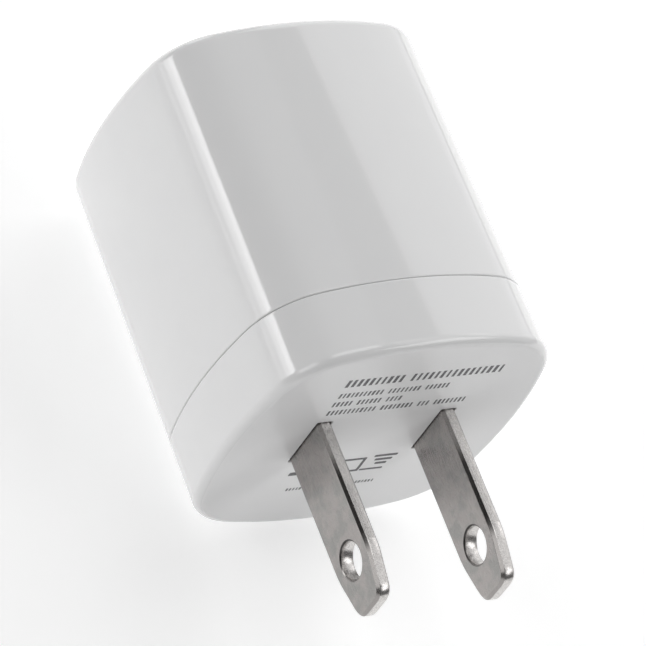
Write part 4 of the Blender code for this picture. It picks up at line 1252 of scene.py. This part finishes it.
# Lights as (name, azimuth, elevation, distance, size, power)
FADED_BOXES = (
    ("fill_near", -55, 25, 0.6, (0.75, 0.5), 2.5),
    ("fill_high", -90, 56, 0.7, (0.5, 0.4), 1.0),
)
EVEN_BOXES = (
    ("fill_far", -95, 30, 0.7, (0.6, 0.5), 0.2),
    ("plug_box", 228, 45, 0.8, (0.45, 0.3), 0.9),
    ("side_box", 95, 40, 0.8, (0.5, 0.4), 0.95),
    ("top_box", 0, 82, 0.8, (0.4, 0.4), 0.8),
    ("port_box", 0, 12, 0.8, (0.3, 0.2), 0.35),
)


def make_floor(level):
    """A lit table, even and pale."""
    finish = Finish("pale_floor", Roughness=0.7, Emission_Strength=0.37)
    speck = finish.noise(2 * MM, 2)
    finish.colour(speck, (0.9, 0.9, 0.9), (0.92, 0.92, 0.92))
    finish.set("Emission Color", finish.mix(speck, (1.0, 1.0, 1.0), (0.99, 0.99, 0.99)))
    shape = bmesh.new()
    bmesh.ops.create_grid(shape, x_segments=8, y_segments=8, size=3.0)
    bmesh.ops.translate(shape, verts=shape.verts, vec=(0, 0, level))
    floor = set_aside("floor", shape)
    floor.data.materials.append(finish.material)


def softbox(name, azimuth, elevation, distance, size, power):
    """A rectangular light that faces the charger. Azimuth 0 is on the port's side, 90 on +X."""
    turn, rise = math.radians(azimuth), math.radians(elevation)
    away = Vector(
        (math.sin(turn) * math.cos(rise), -math.cos(turn) * math.cos(rise), math.sin(rise))
    )
    light = bpy.data.lights.new(name, "AREA")
    light.shape = "RECTANGLE"
    light.size, light.size_y = size
    light.energy = power
    lamp = bpy.data.objects.new(name, light)
    lamp.location = away * distance + LIGHT_AIM
    lamp.rotation_mode = "QUATERNION"
    lamp.rotation_quaternion = away.to_track_quat("Z", "Y")
    lamp.visible_camera = False
    bpy.context.scene.collection.objects.link(lamp)


def faded_softbox(name, azimuth, elevation, distance, size, power):
    """Lights one inside another, so that the whole fades towards its edges."""
    shares = (0.4, 0.6, 0.8, 1.0)
    for share in shares:
        inner = (size[0] * share, size[1] * share)
        part = power * share**2 / sum(other**2 for other in shares)
        softbox(f"{name}_{share}", azimuth, elevation, distance, inner, part)


def light_studio():
    world = bpy.data.worlds.new("studio")
    world.use_nodes = True
    sheet = Sheet(world.node_tree)
    seen = sheet.node("ShaderNodeLightPath", output="Is Camera Ray")
    tone = sheet.mix(seen, (ROOM_GLOW,) * 3, (BACKDROP,) * 3)
    sheet.fill(world.node_tree.nodes["Background"].inputs["Color"], tone)
    bpy.context.scene.world = world
    for step, height in enumerate(KEY_HEIGHTS):
        elevation = KEY_TOP - math.degrees(math.atan(height / 2 / KEY_DISTANCE))
        power = KEY_POWER * height / sum(KEY_HEIGHTS)
        softbox(f"key_{step}", KEY_AZIMUTH, elevation, KEY_DISTANCE, (KEY_WIDTH, height), power)
    for light in FADED_BOXES:
        faded_softbox(*light)
    for light in EVEN_BOXES:
        softbox(*light)


def set_camera():
    camera = bpy.data.objects.new("camera", bpy.data.cameras.new("camera"))
    right = Vector((-0.85126, 0.34034, 0.3994))
    up = Vector((-0.08395, -0.83966, 0.53658))
    forward = Vector((-0.51798, -0.42324, -0.74335))
    axes = Matrix((right, up, -forward)).transposed()
    camera.matrix_world = Matrix.Translation(mm(254.934, 196.295, 365.272)) @ axes.to_4x4()
    camera.data.sensor_width = 36.0
    camera.data.lens = 311.22
    camera.data.clip_start = 0.01
    camera.data.clip_end = 50.0
    bpy.context.scene.collection.objects.link(camera)
    bpy.context.scene.camera = camera


# ---- assembly

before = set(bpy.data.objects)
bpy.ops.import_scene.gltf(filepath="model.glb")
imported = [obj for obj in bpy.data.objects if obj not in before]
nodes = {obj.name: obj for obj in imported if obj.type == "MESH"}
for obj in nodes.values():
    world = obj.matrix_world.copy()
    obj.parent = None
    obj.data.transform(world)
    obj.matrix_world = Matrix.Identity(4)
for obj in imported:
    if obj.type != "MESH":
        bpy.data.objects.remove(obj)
cad_low, cad_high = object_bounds()
bpy.context.scene.view_settings.view_transform = "Standard"
set_camera()

white = moulded_white()
plate = nickel()
make_case(white)
make_cap(white)
make_blade("plug_blade_left", BLADE_SPACING / 2, "blade_left", plate)
make_blade("plug_blade_right", -BLADE_SPACING / 2, "blade_right", plate)
make_printing(printing_ink())
make_port_shell(bright_tin())
make_tongue(dark_moulding("tongue_moulding"))
plated = gold()
coat_inner_parts(nodes, plated)
make_contact_springs(plated)
make_solder(solder())
make_choke_coil(enamelled_copper())

make_floor(cad_low.z)
light_studio()
